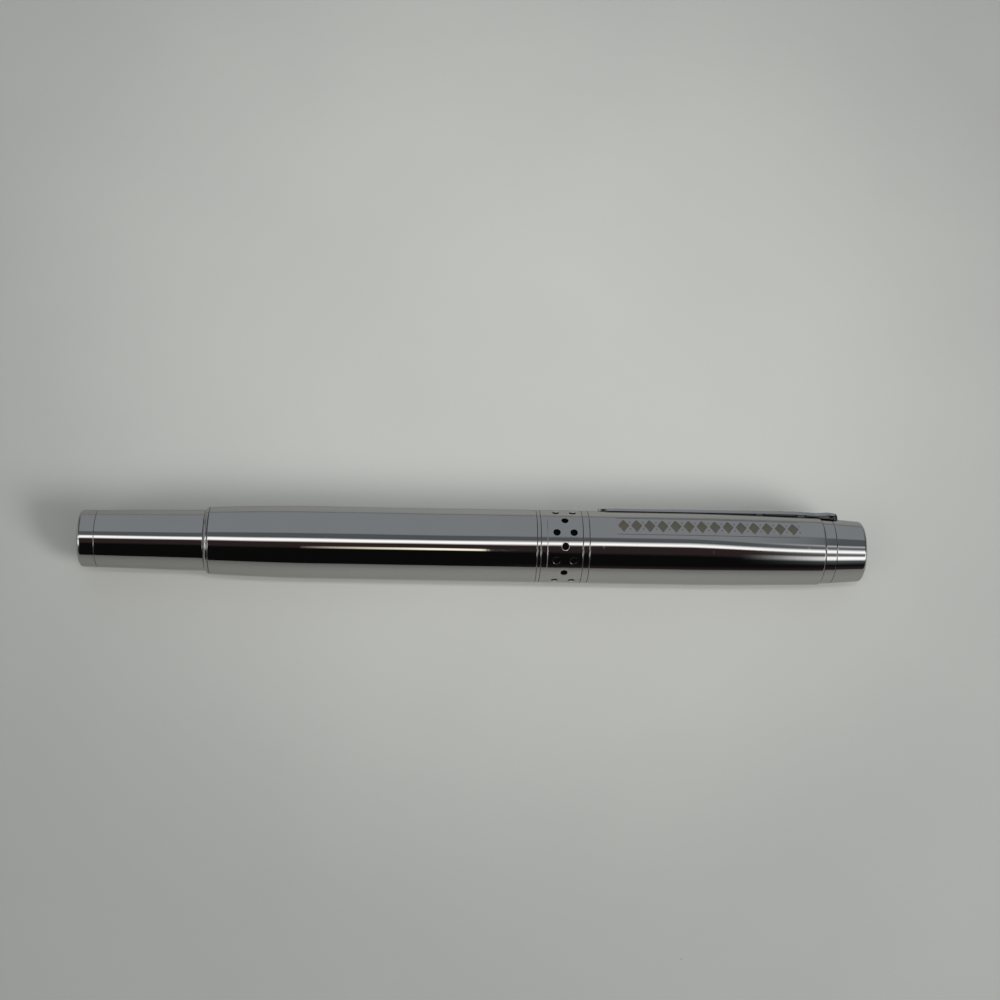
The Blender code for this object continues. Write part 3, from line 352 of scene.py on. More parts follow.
# Moulded acetal: dull and slightly waxy, with the faint cloudiness of a thick moulding.
grey_acetal, tree, shader, coordinates = new_finish("moulded_grey_acetal")
cloud, tone = mottled(tree, coordinates, 2.5, 3, "#8D9093", "#A3A6A8")
grain = add(tree, "ShaderNodeTexNoise", {"Vector": coordinates, "Scale": per_mm(0.25), "Detail": 2})
relief = add(tree, "ShaderNodeBump", {"Height": grain, "Strength": 0.15, "Distance": 0.01 * MM})
look = {"Base Color": tone, "Roughness": 0.42, "IOR": 1.48}
plug_in(tree, shader, {**look, "Normal": relief})

# Turned free-cutting brass, left as it came off the lathe: warm yellow with fine tool rings 0.15 mm
# apart and a little brown tarnish between them.
turned_brass, tree, shader, coordinates = new_finish("lathe_turned_brass")
rings = add(tree, "ShaderNodeMapping", {"Vector": coordinates, "Scale": (1, 0.02, 0.02)})
tool_marks = add(tree, "ShaderNodeTexNoise", {"Vector": rings, "Scale": per_mm(0.15), "Detail": 2})
tarnish, tone = mottled(tree, coordinates, 1.8, 5, "#D9B56A", "#A98445")
dull = add(tree, "ShaderNodeMapRange", {"Value": tool_marks, "To Min": 0.18, "To Max": 0.38})
relief = add(tree, "ShaderNodeBump", {"Height": tool_marks, "Strength": 0.3, "Distance": 0.01 * MM})
look = {"Base Color": tone, "Metallic": 1, "Roughness": dull}
plug_in(tree, shader, {**look, "Normal": relief})

# Stainless steel, drawn and ground: cool grey, satin, with lengthwise grind lines 0.1 mm apart.
ground_steel, tree, shader, coordinates = new_finish("ground_stainless_steel")
lines = add(tree, "ShaderNodeMapping", {"Vector": coordinates, "Scale": (0.05, 1, 1)})
grind, tone = mottled(tree, lines, 0.10, 2, "#B4B5B8", "#C9CACB")
satin = add(tree, "ShaderNodeMapRange", {"Value": grind, "To Min": 0.20, "To Max": 0.34})
look = {"Base Color": tone, "Metallic": 1, "Roughness": satin}
plug_in(tree, shader, look)


def refinish(finishes):
    """Gives CAD nodes that stay as they are their finishes."""
    for node_name, finish in finishes.items():
        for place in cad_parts[node_name].material_slots:
            place.material = finish


refinish({"tail_guide": grey_acetal, "barrel_bushing": turned_brass, "refill_spring": ground_steel})

# --- Barrel ---
# The long main tube of drawn brass, chromed and buffed. It swells from the step ring over its first
# 17 mm in a long soft taper, then runs straight to the trim ring.
BODY = 6.40
SWELL = {"start": 39.80, "length": -17.0, "power": 1.6, "drop": 0.45}
barrel_outline = outline(
    [
        (22.80, BODY, 0.12),
        *stations(22.92, SWELL["start"], BODY, 0.7),
        *stations(SWELL["start"], 79.68, BODY, 5),
        (79.80, BODY, EDGE),
        (79.80, 5.40),
        (22.80, 5.40),
    ]
)
cut = {"facets": 320, "bore": 5.5, **SWELL}
install_turned("barrel", "barrel_tube", "barrel", "chrome", bright_chrome, barrel_outline, **cut)

# --- Threaded insert ---
# A turned brass bushing glued into the barrel's mouth, with the right-hand thread for the grip
# section and a smooth wider bore in front, into which the thread runs out, for the rubber ring.

# Raises a V thread on the stretch of surface at Root radius: the phase is the place along the pitch
# less the share of a turn, and the height dies away over half a pitch at either end.
thread_sizes = {size: "Float" for size in ("Rear", "Length", "Pitch", "Depth", "Root")}
threading, sizes = new_tree("right-hand thread", thread_sizes)
at = places(threading)
across = add(threading, "ShaderNodeCombineXYZ", {"Y": at["Y"], "Z": at["Z"]})
reach = add(threading, "ShaderNodeVectorMath", {0: across}, operation="LENGTH")
angle = add(threading, "ShaderNodeMath", {0: at["Z"], 1: at["Y"]}, operation="ARCTAN2")
turns = add(threading, "ShaderNodeMath", {0: angle, 1: 2 * math.pi}, operation="DIVIDE")
along = add(threading, "ShaderNodeMath", {0: at["X"], 1: sizes["Rear"]}, operation="SUBTRACT")
pitches = add(threading, "ShaderNodeMath", {0: along, 1: sizes["Pitch"]}, operation="DIVIDE")
left = add(threading, "ShaderNodeMath", {0: sizes["Length"], 1: along}, operation="SUBTRACT")
pitches_left = add(threading, "ShaderNodeMath", {0: left, 1: sizes["Pitch"]}, operation="DIVIDE")
phase = add(threading, "ShaderNodeMath", {0: pitches, 1: turns}, operation="SUBTRACT")
flank = add(threading, "ShaderNodeMath", {0: phase, 1: 0.5}, operation="PINGPONG")
nearest = add(threading, "ShaderNodeMath", {0: pitches, 1: pitches_left}, operation="MINIMUM")
fade = add(threading, "ShaderNodeMath", {0: nearest, 1: 2}, operation="MULTIPLY", use_clamp=True)
share = add(threading, "ShaderNodeMath", {0: flank, 1: fade}, operation="MULTIPLY")
height = add(threading, "ShaderNodeMath", {0: share, 1: sizes["Depth"]}, operation="MULTIPLY")
grown = add(
    threading, "ShaderNodeMath", {0: height, 1: 2, 2: reach.outputs["Value"]}, operation="MULTIPLY_ADD"
)
ratio = add(threading, "ShaderNodeMath", {0: grown, 1: reach.outputs["Value"]}, operation="DIVIDE")
on_root = add(
    threading,
    "ShaderNodeMath",
    {0: reach.outputs["Value"], 1: sizes["Root"], 2: 0.01 * MM},
    operation="COMPARE",
)
cut = add(threading, "ShaderNodeVectorMath", {0: across, "Scale": ratio}, operation="SCALE")
cut_at = add(threading, "ShaderNodeSeparateXYZ", {0: cut}).outputs
threaded = add(threading, "ShaderNodeCombineXYZ", {"X": at["X"], "Y": cut_at["Y"], "Z": cut_at["Z"]})
raised = add(
    threading,
    "GeometryNodeSetPosition",
    {"Geometry": sizes["Mesh"], "Selection": on_root, "Position": threaded},
)
end_tree(threading, raised, sizes)

PITCH = 0.75
LINE_SPACING = PITCH / 12
THREAD_DEPTH = 0.35
THREAD_REAR = 73.79
THREAD_LENGTH = 5.25
INSERT_ROOT, CORE_ROOT = 4.20, 4.10


def cut_thread(name, mesh, root, length, finish):
    """The mesh with the screw joint's thread raised on its surface of root radius."""
    thread = {"rear": THREAD_REAR, "length": length, "pitch": PITCH, "depth": THREAD_DEPTH}
    metres = {label: value * MM for label, value in thread.items()}
    return shaped(name, mesh, threading, root=root * MM, finish=finish, **metres)


insert_rear, thread_front, insert_front = 70.25, THREAD_REAR + THREAD_LENGTH, 79.75
insert_outline = outline(
    [
        (insert_rear, 5.35, 0.20),
        (insert_front, 5.35, 0.20),
        (insert_front, 4.96, 0.10),
        (thread_front, 4.96),
        (thread_front, INSERT_ROOT),
        *stations(thread_front, THREAD_REAR, INSERT_ROOT, LINE_SPACING),
        (THREAD_REAR, INSERT_ROOT),
        (insert_rear, INSERT_ROOT, 0.20),
    ]
)
insert = spin("insert_turned", insert_outline, turned_brass, 192)
insert = cut_thread("insert_threaded", insert, INSERT_ROOT, THREAD_LENGTH + PITCH, turned_brass)
install("insert_finished", smooth(insert), "barrel", "brass", "barrel_insert")

# --- Trim ring ---
# A thin chromed washer, loose on the section's neck, that closes the joint between barrel and cap.
# Both of its outer edges are rounded alike.
ring_outline = outline([(79.85, BODY, EDGE), (80.45, BODY, EDGE), (80.45, 4.55), (79.85, 4.55)])
install_turned("trim_ring", "trim_ring", "trim_ring", "chrome", bright_chrome, ring_outline)

# --- Grip section ---
# A turned steel core: threaded shank, neck, and a shoulder with the small bead on which the cap
# snaps. A black moulded grip is pushed over its tube and held by a chromed ring and the nose cone.
core_outline = outline(
    [
        (73.44, 3.20),
        (73.44, CORE_ROOT, 0.20),
        (THREAD_REAR, CORE_ROOT),
        *stations(THREAD_REAR, thread_front, CORE_ROOT, LINE_SPACING),
        (thread_front, CORE_ROOT),
        (79.80, CORE_ROOT),
        (79.80, 4.40),
        (80.50, 4.40),
        (80.50, 5.30, 0.18),
        (81.425, 5.30, 0.15),
        (81.825, 5.37, 0.25, 8),
        (82.225, 5.30, 0.15),
        (83.15, 5.30, 0.22, 8),
        (83.15, 4.00),
        (112.00, 4.00),
        (112.00, 3.65),
        (108.20, 3.65),
        (108.20, 3.20),
    ]
)
core = spin("section_core_turned", core_outline, ground_steel, 192)
core = cut_thread("section_core_threaded", core, CORE_ROOT, THREAD_LENGTH, ground_steel)
install("section_core_finished", smooth(core), "section", "steel", "section_core")

# Moulded nitrile rubber: near-black, matt, with a bloom of fine dust.
black_rubber, tree, shader, coordinates = new_finish("moulded_black_rubber")
bloom, tone = mottled(tree, coordinates, 0.4, 4, "#1B1B1B", "#2B2B2A")
plug_in(tree, shader, {"Base Color": tone, "Roughness": 0.75})
WIRE, SEAL_X, SEAL_RADIUS = 0.33, 79.42, 4.48
seal_outline = [
    (SEAL_X + WIRE * math.cos(step * math.pi / 12), SEAL_RADIUS + WIRE * math.sin(step * math.pi / 12))
    for step in range(24)
]
seal = smooth(spin("seal_ring_turned", seal_outline, black_rubber, 128), 60)
install("seal_ring_finished", seal, "section", "rubber", "seal_ring")

# Black ABS from a spark-eroded mould: soft sheen over a fine even grain about 0.2 mm across.
black_abs, tree, shader, coordinates = new_finish("moulded_black_abs")
grain = add(
    tree, "ShaderNodeTexVoronoi", {"Vector": coordinates, "Scale": per_mm(0.2)}, feature="SMOOTH_F1"
)
shine, tone = mottled(tree, coordinates, 4, 3, "#121213", "#1C1C1D")
gloss = add(tree, "ShaderNodeMapRange", {"Value": shine, "To Min": 0.28, "To Max": 0.42})
relief = add(tree, "ShaderNodeBump", {"Height": grain, "Strength": 0.25, "Distance": 0.02 * MM})
look = {"Base Color": tone, "Roughness": gloss, "IOR": 1.54}
plug_in(tree, shader, {**look, "Normal": relief})

GRIP_REAR, WAIST_REAR, WAIST_FRONT, GRIP_FRONT = 83.20, 86.65, 102.50, 110.80
CURVE_STEPS = 24
waist_curve = []
for step in range(CURVE_STEPS + 1):
    share = 1 - step / CURVE_STEPS
    waist_curve.append((WAIST_FRONT + (WAIST_REAR - WAIST_FRONT) * share, 4.50 + 0.45 * share**1.6))
grip_outline = outline(
    [
        (GRIP_REAR, 4.05),
        (GRIP_REAR, 4.95, 0.22, 8),
        *waist_curve,
        (GRIP_FRONT, 4.62, 0.22, 8),
        (GRIP_FRONT, 4.05),
    ]
)
install_turned("grip", "grip_sleeve", "section", "black_plastic", black_abs, grip_outline, facets=192)

ring_outline = outline(
    [(110.85, 4.05), (110.85, 4.72, 0.30, 8), (112.00, 4.72, 0.30, 8), (112.00, 4.05)]
)
install_turned("grip_ring", "grip_ring", "section", "chrome", bright_chrome, ring_outline, facets=192)

nose_curve = []
for step in range(CURVE_STEPS + 1):
    share = step / CURVE_STEPS
    nose_curve.append((112.05 + 9.45 * share, 4.50 - 2.75 * share**1.25))
nose_outline = outline(
    [
        (108.25, 3.20),
        (108.25, 3.60, 0.18),
        (112.05, 3.60),
        (*nose_curve[0], EDGE),
        *nose_curve[1:-1],
        (*nose_curve[-1], 0.18, 8),
        (121.50, 1.30),
        (118.10, 1.30),
        (118.10, 1.85),
        (115.50, 1.85),
        (112.50, 3.20),
    ]
)
install_turned("nose_cone", "nose_cone", "section", "chrome", bright_chrome, nose_outline, facets=192)

# --- Refill ---
# A steel tube of ink with a moulded plug and feed holder. Its turned point holds a hard metal ball
# 0.7 mm across, crimped in so that just its tip stands out and rolls.
refinish({"refill_plug": grey_acetal, "refill_tube": ground_steel, "refill_holder": grey_acetal})

BALL_CENTRE, BALL, SOCKET = 123.65, 0.35, 0.38
LIP, THROAT = 123.87, 0.20
lip_angle = math.acos((LIP - BALL_CENTRE) / SOCKET)
throat_angle = math.pi - math.asin(THROAT / SOCKET)
socket_curve = []
for step in range(13):
    angle = lip_angle + (throat_angle - lip_angle) * step / 12
    socket_curve.append((BALL_CENTRE + SOCKET * math.cos(angle), SOCKET * math.sin(angle)))
point_outline = outline(
    [
        *socket_curve,
        (113.25, THROAT),
        (113.25, 0.80, 0.08),
        (118.05, 0.80),
        (118.05, 1.15, 0.08),
        (122.02, 1.15, 0.30),
        (LIP, SOCKET * math.sin(lip_angle) + 0.09, 0.03),
    ]
)
install_turned(
    "refill_point", "refill_point", "refill", "steel", ground_steel, point_outline, facets=96
)

half_circle = [
    (BALL_CENTRE - BALL * math.cos(step * math.pi / 24), BALL * math.sin(step * math.pi / 24))
    for step in range(25)
]
half_circle[0] = (BALL_CENTRE - BALL, 0)
half_circle[-1] = (BALL_CENTRE + BALL, 0)
install_turned(
    "writing_ball", "writing_ball", "writing_ball", "steel", ground_steel, half_circle, facets=48
)

# --- Cap liner ---
# The inner cap, one black moulding that grips the section's shoulder and keeps the ink from drying.
# Its wall, darkened past its own black as painted shade, is what shows through the holes of the band.
liner_outline = outline(
    [
        (128.95, 0),
        (128.95, 4.10),
        (126.70, 4.10),
        (126.70, 5.10),
        (84.60, 5.10),
        (84.60, 5.50, 0.15),
        (80.60, 5.50, 0.18),
        (80.60, 5.90, 0.10),
        *stations(80.70, 111.85, 5.90, 4),
        (111.85, 5.90),
        (111.85, 5.40),
        (127.25, 5.40),
        (127.25, 4.65),
        (129.55, 4.65, 0.18),
        (129.55, 0),
    ]
)
# Black polypropylene from a rough-blasted tool, darkened to near black with almost no reflection:
# painted shade for the deep holes of the band, over the plastic's own black.
black_with_painted_shade, tree, shader, coordinates = new_finish("black_polypropylene_with_painted_shade")
blasting, tone = mottled(tree, coordinates, 0.3, 3, "#030303", "#080808")
relief = add(tree, "ShaderNodeBump", {"Height": blasting, "Strength": 0.3, "Distance": 0.02 * MM})
look = {"Base Color": tone, "Roughness": 0.75, "Specular IOR Level": 0.1}
plug_in(tree, shader, {**look, "Normal": relief})
install_turned(
    "cap_liner", "cap_liner", "cap_liner", "black_plastic", black_with_painted_shade, liner_outline, facets=192
)

# --- Pierced band ---
# The sleeve at the cap's mouth: chromed brass with a fine groove near its rear edge and 24 drilled
# holes, single ones in the middle row between pairs. The drill's burr is broken with a small rim.
HOLE_TURN = math.radians(-70)
SECTORS = 8
COLUMN = math.pi * BODY / SECTORS
ROW = 1.475
HOLE = 0.60
RIM = 0.06
WALL = 0.45
COLUMN_STEPS, ROW_STEPS = 20, 12
BAND_REAR, BAND_FRONT = 80.50, 87.70
GROOVE, GROOVE_HALF, GROOVE_DEPTH, GROOVE_EDGE = 81.60, 0.06, 0.04, 0.015


def skin_rings(mesh, rings):
    """The faces between closed rings of points, each with the next."""
    for ring, following in zip(rings, rings[1:]):
        for step in range(len(ring)):
            after = (step + 1) % len(ring)
            mesh.faces.new((ring[step], ring[after], following[after], following[step]))


def pierce(mesh, centre, half, steps, radius, rim, top, bottom):
    """A rectangle of sheet with a drilled hole: its two skins, the hole's rounded rims and its wall.
    Each ring lies between the rectangle's border, at share 1, and a circle, at share 0."""
    corners = [(-1, -1), (1, -1), (1, 1), (-1, 1), (-1, -1)]
    border = []
    for (x0, y0), (x1, y1), count in zip(corners, corners[1:], (*steps, *steps)):
        for step in range(count):
            t = step / count
            border.append(Vector(((x0 + (x1 - x0) * t) * half[0], (y0 + (y1 - y0) * t) * half[1])))
    rings = []
    levels = [(1, 0, top), (0.6, radius + rim, top), (0.25, radius + rim, top), (0, radius + rim, top)]
    levels += [(0, radius + rim * 0.3, top - rim * 0.3), (0, radius, top - rim)]
    levels += [(0, radius, bottom + rim), (0, radius + rim, bottom), (0.5, radius + rim, bottom)]
    levels += [(1, 0, bottom)]
    for share, reach, height in levels:
        ring = []
        for point in border:
            at = point.normalized() * reach * (1 - share) + point * share
            ring.append(mesh.verts.new((centre[0] + at.x, centre[1] + at.y, height)))
        rings.append(ring)
    skin_rings(mesh, rings)


def sheet_strip(mesh, along, across):
    """Quads between stations along, each a place and a height, and places across."""
    rows = [[mesh.verts.new((x, y, h)) for y in across] for x, h in along]
    for row, following in zip(rows, rows[1:]):
        for step in range(len(across) - 1):
            mesh.faces.new((row[step], row[step + 1], following[step + 1], following[step]))


def as_mesh(name, sheet, gap=0.002):
    """The sheet as a mesh in metres, with its touching points welded."""
    bmesh.ops.remove_doubles(sheet, verts=sheet.verts, dist=gap)
    bmesh.ops.scale(sheet, vec=(MM, MM, MM), verts=sheet.verts)
    mesh = bpy.data.meshes.new(name)
    sheet.to_mesh(mesh)
    sheet.free()
    return mesh


holes_middle = (GROOVE + BAND_FRONT) / 2
holes_rear, holes_front = holes_middle - 1.5 * ROW, holes_middle + 1.5 * ROW
across = [COLUMN * step / COLUMN_STEPS for step in range(2 * COLUMN_STEPS + 1)]
rear_run = outline(
    [
        (BAND_REAR, -WALL),
        (BAND_REAR, 0, EDGE),
        (GROOVE - GROOVE_HALF, 0, GROOVE_EDGE),
        (GROOVE, -GROOVE_DEPTH, GROOVE_EDGE),
        (GROOVE + GROOVE_HALF, 0, GROOVE_EDGE),
        (holes_rear, 0),
    ]
)
front_run = outline([(holes_front, 0), (BAND_FRONT, 0, EDGE), (BAND_FRONT, -WALL)])
sector = bmesh.new()
sheet_strip(sector, rear_run, across)
sheet_strip(sector, front_run, across)
sheet_strip(sector, [(BAND_REAR, -WALL), (holes_rear, -WALL)], across)
sheet_strip(sector, [(holes_front, -WALL), (BAND_FRONT, -WALL)], across)
cell, cell_steps = (ROW / 2, COLUMN / 2), (ROW_STEPS, COLUMN_STEPS)
for row in range(3):
    for column in range(2):
        x = holes_rear + (row + 0.5) * ROW
        y = (column + 0.5) * COLUMN
        if (row == 1) == (column == 0):
            pierce(sector, (x, y), cell, cell_steps, HOLE, RIM, 0, -WALL)
            continue
        run = [x - ROW / 2 + ROW * step / ROW_STEPS for step in range(ROW_STEPS + 1)]
        plain = across[column * COLUMN_STEPS : (column + 1) * COLUMN_STEPS + 1]
        for height in (0, -WALL):
            sheet_strip(sector, [(place, height) for place in run], plain)


def copies_in_line(tree, sizes, line):
    """Real copies of the tree's mesh on the points of a line."""
    points = add(tree, "GeometryNodeMeshLine", line)
    copies = add(tree, "GeometryNodeInstanceOnPoints", {"Points": points, "Instance": sizes["Mesh"]})
    return add(tree, "GeometryNodeRealizeInstances", {"Geometry": copies})


def round_the_pen(tree, sizes, at, surface):
    """Where a point of flat sheet goes: Y is the way round, measured at Radius and from the place
    that Turn says, and Z the height above the surface's own radius."""
    round_it = add(tree, "ShaderNodeMath", {0: at["Y"], 1: sizes["Radius"]}, operation="DIVIDE")
    turned = add(tree, "ShaderNodeMath", {0: round_it, 1: sizes["Turn"]}, operation="ADD")
    reach = add(tree, "ShaderNodeMath", {0: at["Z"], 1: surface}, operation="ADD")
    sine = add(tree, "ShaderNodeMath", {0: turned}, operation="SINE")
    cosine = add(tree, "ShaderNodeMath", {0: turned}, operation="COSINE")
    back = add(tree, "ShaderNodeMath", {0: sine, 1: reach}, operation="MULTIPLY")
    side = add(tree, "ShaderNodeMath", {0: back, 1: -1}, operation="MULTIPLY")
    up = add(tree, "ShaderNodeMath", {0: cosine, 1: reach}, operation="MULTIPLY")
    place = {"X": at["X"], "Y": side, "Z": up}
    return add(tree, "ShaderNodeCombineXYZ", place)


# Lays copies of one sector of sheet side by side and wraps them round the pen.
wrapping, sizes = new_tree(
    "sheet wrapped round the pen", {"Sectors": "Int", "Radius": "Float", "Turn": "Float"}
)
girth = add(wrapping, "ShaderNodeMath", {0: sizes["Radius"], 1: 2 * math.pi}, operation="MULTIPLY")
width = add(wrapping, "ShaderNodeMath", {0: girth, 1: sizes["Sectors"]}, operation="DIVIDE")
sideways = add(wrapping, "ShaderNodeCombineXYZ", {"Y": width})
line = {"Count": sizes["Sectors"], "Offset": sideways}
wrapped = {
    "Geometry": copies_in_line(wrapping, sizes, line),
    "Position": round_the_pen(wrapping, sizes, places(wrapping), sizes["Radius"]),
}
end_tree(wrapping, add(wrapping, "GeometryNodeSetPosition", wrapped), sizes)
band = shaped(
    "cap_band_rolled",
    as_mesh("cap_band_sector", sector),
    wrapping,
    sectors=SECTORS,
    radius=BODY * MM,
    turn=HOLE_TURN - math.pi / SECTORS / 2,
    finish=bright_chrome,
)
install("cap_band_finished", smooth(band), "cap", "chrome", "cap_band")

# --- Plain ring of the cap ---
# A plain chromed ring between the pierced band and the cap tube, with a fine seam on either side.
# It is pressed onto the liner as the band is.
ring_outline = outline([(87.75, BODY, EDGE), (88.85, BODY, EDGE), (88.85, 5.95), (87.75, 5.95)])
install_turned("cap_band_ring", "cap_band_ring", "cap", "chrome", bright_chrome, ring_outline)

# --- Cap tube ---
# The long chromed tube of the cap. Over its last 24.6 mm it draws in by 0.43 mm with a growing
# slope, and its bore steps down beyond the liner's wide part.
DRAW = {"start": 105.10, "length": 24.60, "power": 1.6, "drop": 0.43}
cap_outline = outline(
    [
        (88.90, BODY, EDGE),
        *stations(89.01, DRAW["start"], BODY, 4),
        *stations(DRAW["start"], 129.30, BODY, 0.7),
        (129.70, BODY, 0.28, 10),
        (129.70, 5.45),
        (111.90, 5.45),
        (111.90, 5.95),
        (88.90, 5.95),
    ]
)
cut = {"facets": 320, "bore": 6.0, **DRAW}
install_turned("cap_tube", "cap_tube", "cap", "chrome", bright_chrome, cap_outline, **cut)

# --- Etched ornament ---
# A plain ornament etched along the cap: a row of lozenges between two hairlines. The etch goes
# through the bright plating and is left dull grey-brown.

# Etched and darkened metal: fine pitting scatters the light, so it looks matt beside the mirror.
etched_metal, tree, shader, coordinates = new_finish("etched_darkened_metal")
pitting, tone = mottled(tree, coordinates, 0.22, 4, "#4F4C44", "#69655A")
relief = add(tree, "ShaderNodeBump", {"Height": pitting, "Strength": 0.5, "Distance": 0.02 * MM})
look = {"Base Color": tone, "Metallic": 0.35, "Roughness": 0.62}
plug_in(tree, shader, {**look, "Normal": relief})

MOTIFS, FIRST_MOTIF = 14, 94.75
HALF_PITCH = 1.13
LOZENGE_HALF_LENGTH, LOZENGE_HALF_WIDTH = 0.98, 1.35
HAIRLINE_FROM_MIDDLE, HAIRLINE_WIDTH = 1.75, 0.13
DOT, DOT_FROM_MIDDLE = 0.17, 0.72
ETCH_TOP, ETCH_BOTTOM = 0.008, -0.03
ORNAMENT_TURN = math.radians(-17)


def etched_patch(mesh, rows):
    """A thin closed patch from rows, each a place across, its rear end and its front end."""
    rings = []
    for y, rear, front in rows:
        corners = [(rear, ETCH_TOP), (front, ETCH_TOP), (front, ETCH_BOTTOM), (rear, ETCH_BOTTOM)]
        rings.append([mesh.verts.new((x, y, h)) for x, h in corners])
    skin_rings(mesh, rings)
    mesh.faces.new(rings[0])
    mesh.faces.new(rings[-1])


# The points of lozenges and dots stop a hair short, so that no row of a patch shrinks to nothing.
motif = bmesh.new()
rows = []
for step in range(-8, 9):
    share = step / 8.1
    reach = LOZENGE_HALF_LENGTH * (1 - abs(share))
    rows.append((LOZENGE_HALF_WIDTH * share, -reach, reach))
etched_patch(motif, rows)
for side in (-1, 1):
    middle, half = side * HAIRLINE_FROM_MIDDLE, HAIRLINE_WIDTH / 2
    etched_patch(motif, [(y, -HALF_PITCH, HALF_PITCH) for y in (middle - half, middle + half)])
    rows = []
    for share in (-1, 0, 1):
        reach = DOT * (1.02 - abs(share))
        rows.append((side * DOT_FROM_MIDDLE + DOT * share, HALF_PITCH - reach, HALF_PITCH + reach))
    etched_patch(motif, rows)

# Sets copies of one motif in a row along the pen and lays them on its tapering surface.
row_sizes = {"Count": "Int", **{size: "Float" for size in ("First", "Pitch", "Radius", "Turn")}}
etching, sizes = new_tree("row of motifs along the cap", {**row_sizes, **TAPER})
first = add(etching, "ShaderNodeCombineXYZ", {"X": sizes["First"]})
onward = add(etching, "ShaderNodeCombineXYZ", {"X": sizes["Pitch"]})
line = {"Count": sizes["Count"], "Start Location": first, "Offset": onward}
flat_row = copies_in_line(etching, sizes, line)
at = places(etching)
fallen = add(
    etching,
    "ShaderNodeMath",
    {0: sizes["Radius"], 1: taper_drop(etching, sizes, at["X"])},
    operation="SUBTRACT",
)
on_cap = {"Geometry": flat_row, "Position": round_the_pen(etching, sizes, at, fallen)}
end_tree(etching, add(etching, "GeometryNodeSetPosition", on_cap), sizes)
ornament = shaped(
    "ornament_row",
    as_mesh("ornament_motif", motif, 0.0005),
    etching,
    count=MOTIFS,
    first=FIRST_MOTIF * MM,
    pitch=2 * HALF_PITCH * MM,
    radius=BODY * MM,
    turn=ORNAMENT_TURN,
    taper_start=DRAW["start"] * MM,
    taper_length=DRAW["length"] * MM,
    taper_power=DRAW["power"],
    taper_drop=DRAW["drop"] * MM,
    finish=etched_metal,
)
install("cap_ornament", smooth(ornament), "cap", "chrome")

# --- Cap collar ---
# A short chromed collar, pressed into the cap tube, that carries the finial in its bore. Fine seams
# part it from both of them.
collar_outline = outline(
    [
        (129.75, 5.78, EDGE),
        (131.60, 5.70, EDGE),
        (131.60, 4.30),
        (129.75, 4.30),
        (129.75, 4.70),
        (127.30, 4.70),
        (127.30, 5.40, 0.18),
        (129.75, 5.40),
    ]
)
install_turned("cap_collar", "cap_collar", "cap", "chrome", bright_chrome, collar_outline)

# --- Finial ---
# The end piece of the cap, turned and chromed, slightly conical with a rounded rim. A slot milled in
# its far side takes the clip's leg, which a brass key locks from inside.
CLIP_TURN = math.radians(-78)
CLIP_LEG = 132.575
SLOT_HALF_LENGTH, SLOT_HALF_WIDTH, SLOT_BOTTOM, SLOT_TOP = 0.415, 2.15, 2.29, 6.5


def milled_slot():
    """The cutter of the slot for the clip's leg, turned to the clip's side of the pen."""
    mesh = bmesh.new()
    bmesh.ops.create_cube(mesh, size=1)
    for point in mesh.verts:
        x, y, z = point.co
        height = SLOT_BOTTOM + (z + 0.5) * (SLOT_TOP - SLOT_BOTTOM)
        at = Vector((CLIP_LEG + 2 * x * SLOT_HALF_LENGTH, 2 * y * SLOT_HALF_WIDTH, height))
        point.co = Matrix.Rotation(CLIP_TURN, 3, "X") @ at * MM
    data = bpy.data.meshes.new("slot_cutter")
    mesh.to_mesh(data)
    mesh.free()
    return new_object("slot_cutter", data)


finial_outline = outline(
    [
        (134.50, 0),
        (134.50, 3.40),
        (129.65, 3.40),
        (129.65, 4.25, 0.18),
        (131.65, 4.25),
        (131.65, 5.68, EDGE),
        (132.30, 5.63),
        (133.00, 5.58),
        (134.00, 5.50),
        (135.20, 5.41),
        (137.00, 5.27, 0.50, 10),
        (137.00, 0),
    ]
)
blank = new_object("finial_blank", spin("finial_turned", finial_outline, bright_chrome))
cutter = milled_slot()
milling = blank.modifiers.new("slot", "BOOLEAN")
milling.operation = "DIFFERENCE"
milling.object = cutter
finial = made_mesh(blank)
bpy.data.objects.remove(cutter)
install("finial_finished", smooth(finial), "cap", "chrome", "finial")
refinish({"clip_key": turned_brass})

# --- Clip ---
# A strip of spring steel, blanked, pierced with two round holes, bent and chromed. It is crowned, with
# bevelled long edges, and thickens towards its root. It stands 0.1 mm clear of the cap, dips at the tip
# until its edges bite 0.14 mm into it, and turns down into the finial's slot at the root.
THIN, THICK = 0.38, 0.54
CLIP_GAP, TIP_GAP = 0.10, 0.05
CLIP_TIP = 91.00
HALF_WIDTH, TIP_HALF_WIDTH, TIP_LENGTH = 2.00, 1.10, 1.60
CROWN, CROWN_FADE, CROWN_END = 0.30, 2.0, 131.00
BEVEL, TOP_EDGE = 0.17, 0.03
CLIP_HOLE, CLIP_RIM = 0.80, 0.16
HOLES_FROM_TIP = (28.6, 35.95)
crest, tip = BODY + CLIP_GAP + THIN / 2, BODY + TIP_GAP + THIN / 2
clip_path = outline(
    [
        (CLIP_TIP, tip),
        (91.80, tip, 0.53, 8),
        (93.40, crest, 0.53, 8),
        (125.575, crest, 4.00, 16),
        (131.675, crest - 0.40, 0.45, 8),
        (CLIP_LEG, crest - 0.53, 0.45, 10),
        (CLIP_LEG, 2.43),
    ]
)
path_length = sum((b - a).length for a, b in zip(clip_path, clip_path[1:]))


def path_place(x):
    """The distance along the clip's path at which it reaches a place along the pen."""
    run = 0
    for a, b in zip(clip_path, clip_path[1:]):
        if b.x >= x:
            return run + (b - a).length * (x - a.x) / (b.x - a.x)
        run += (b - a).length
    return run


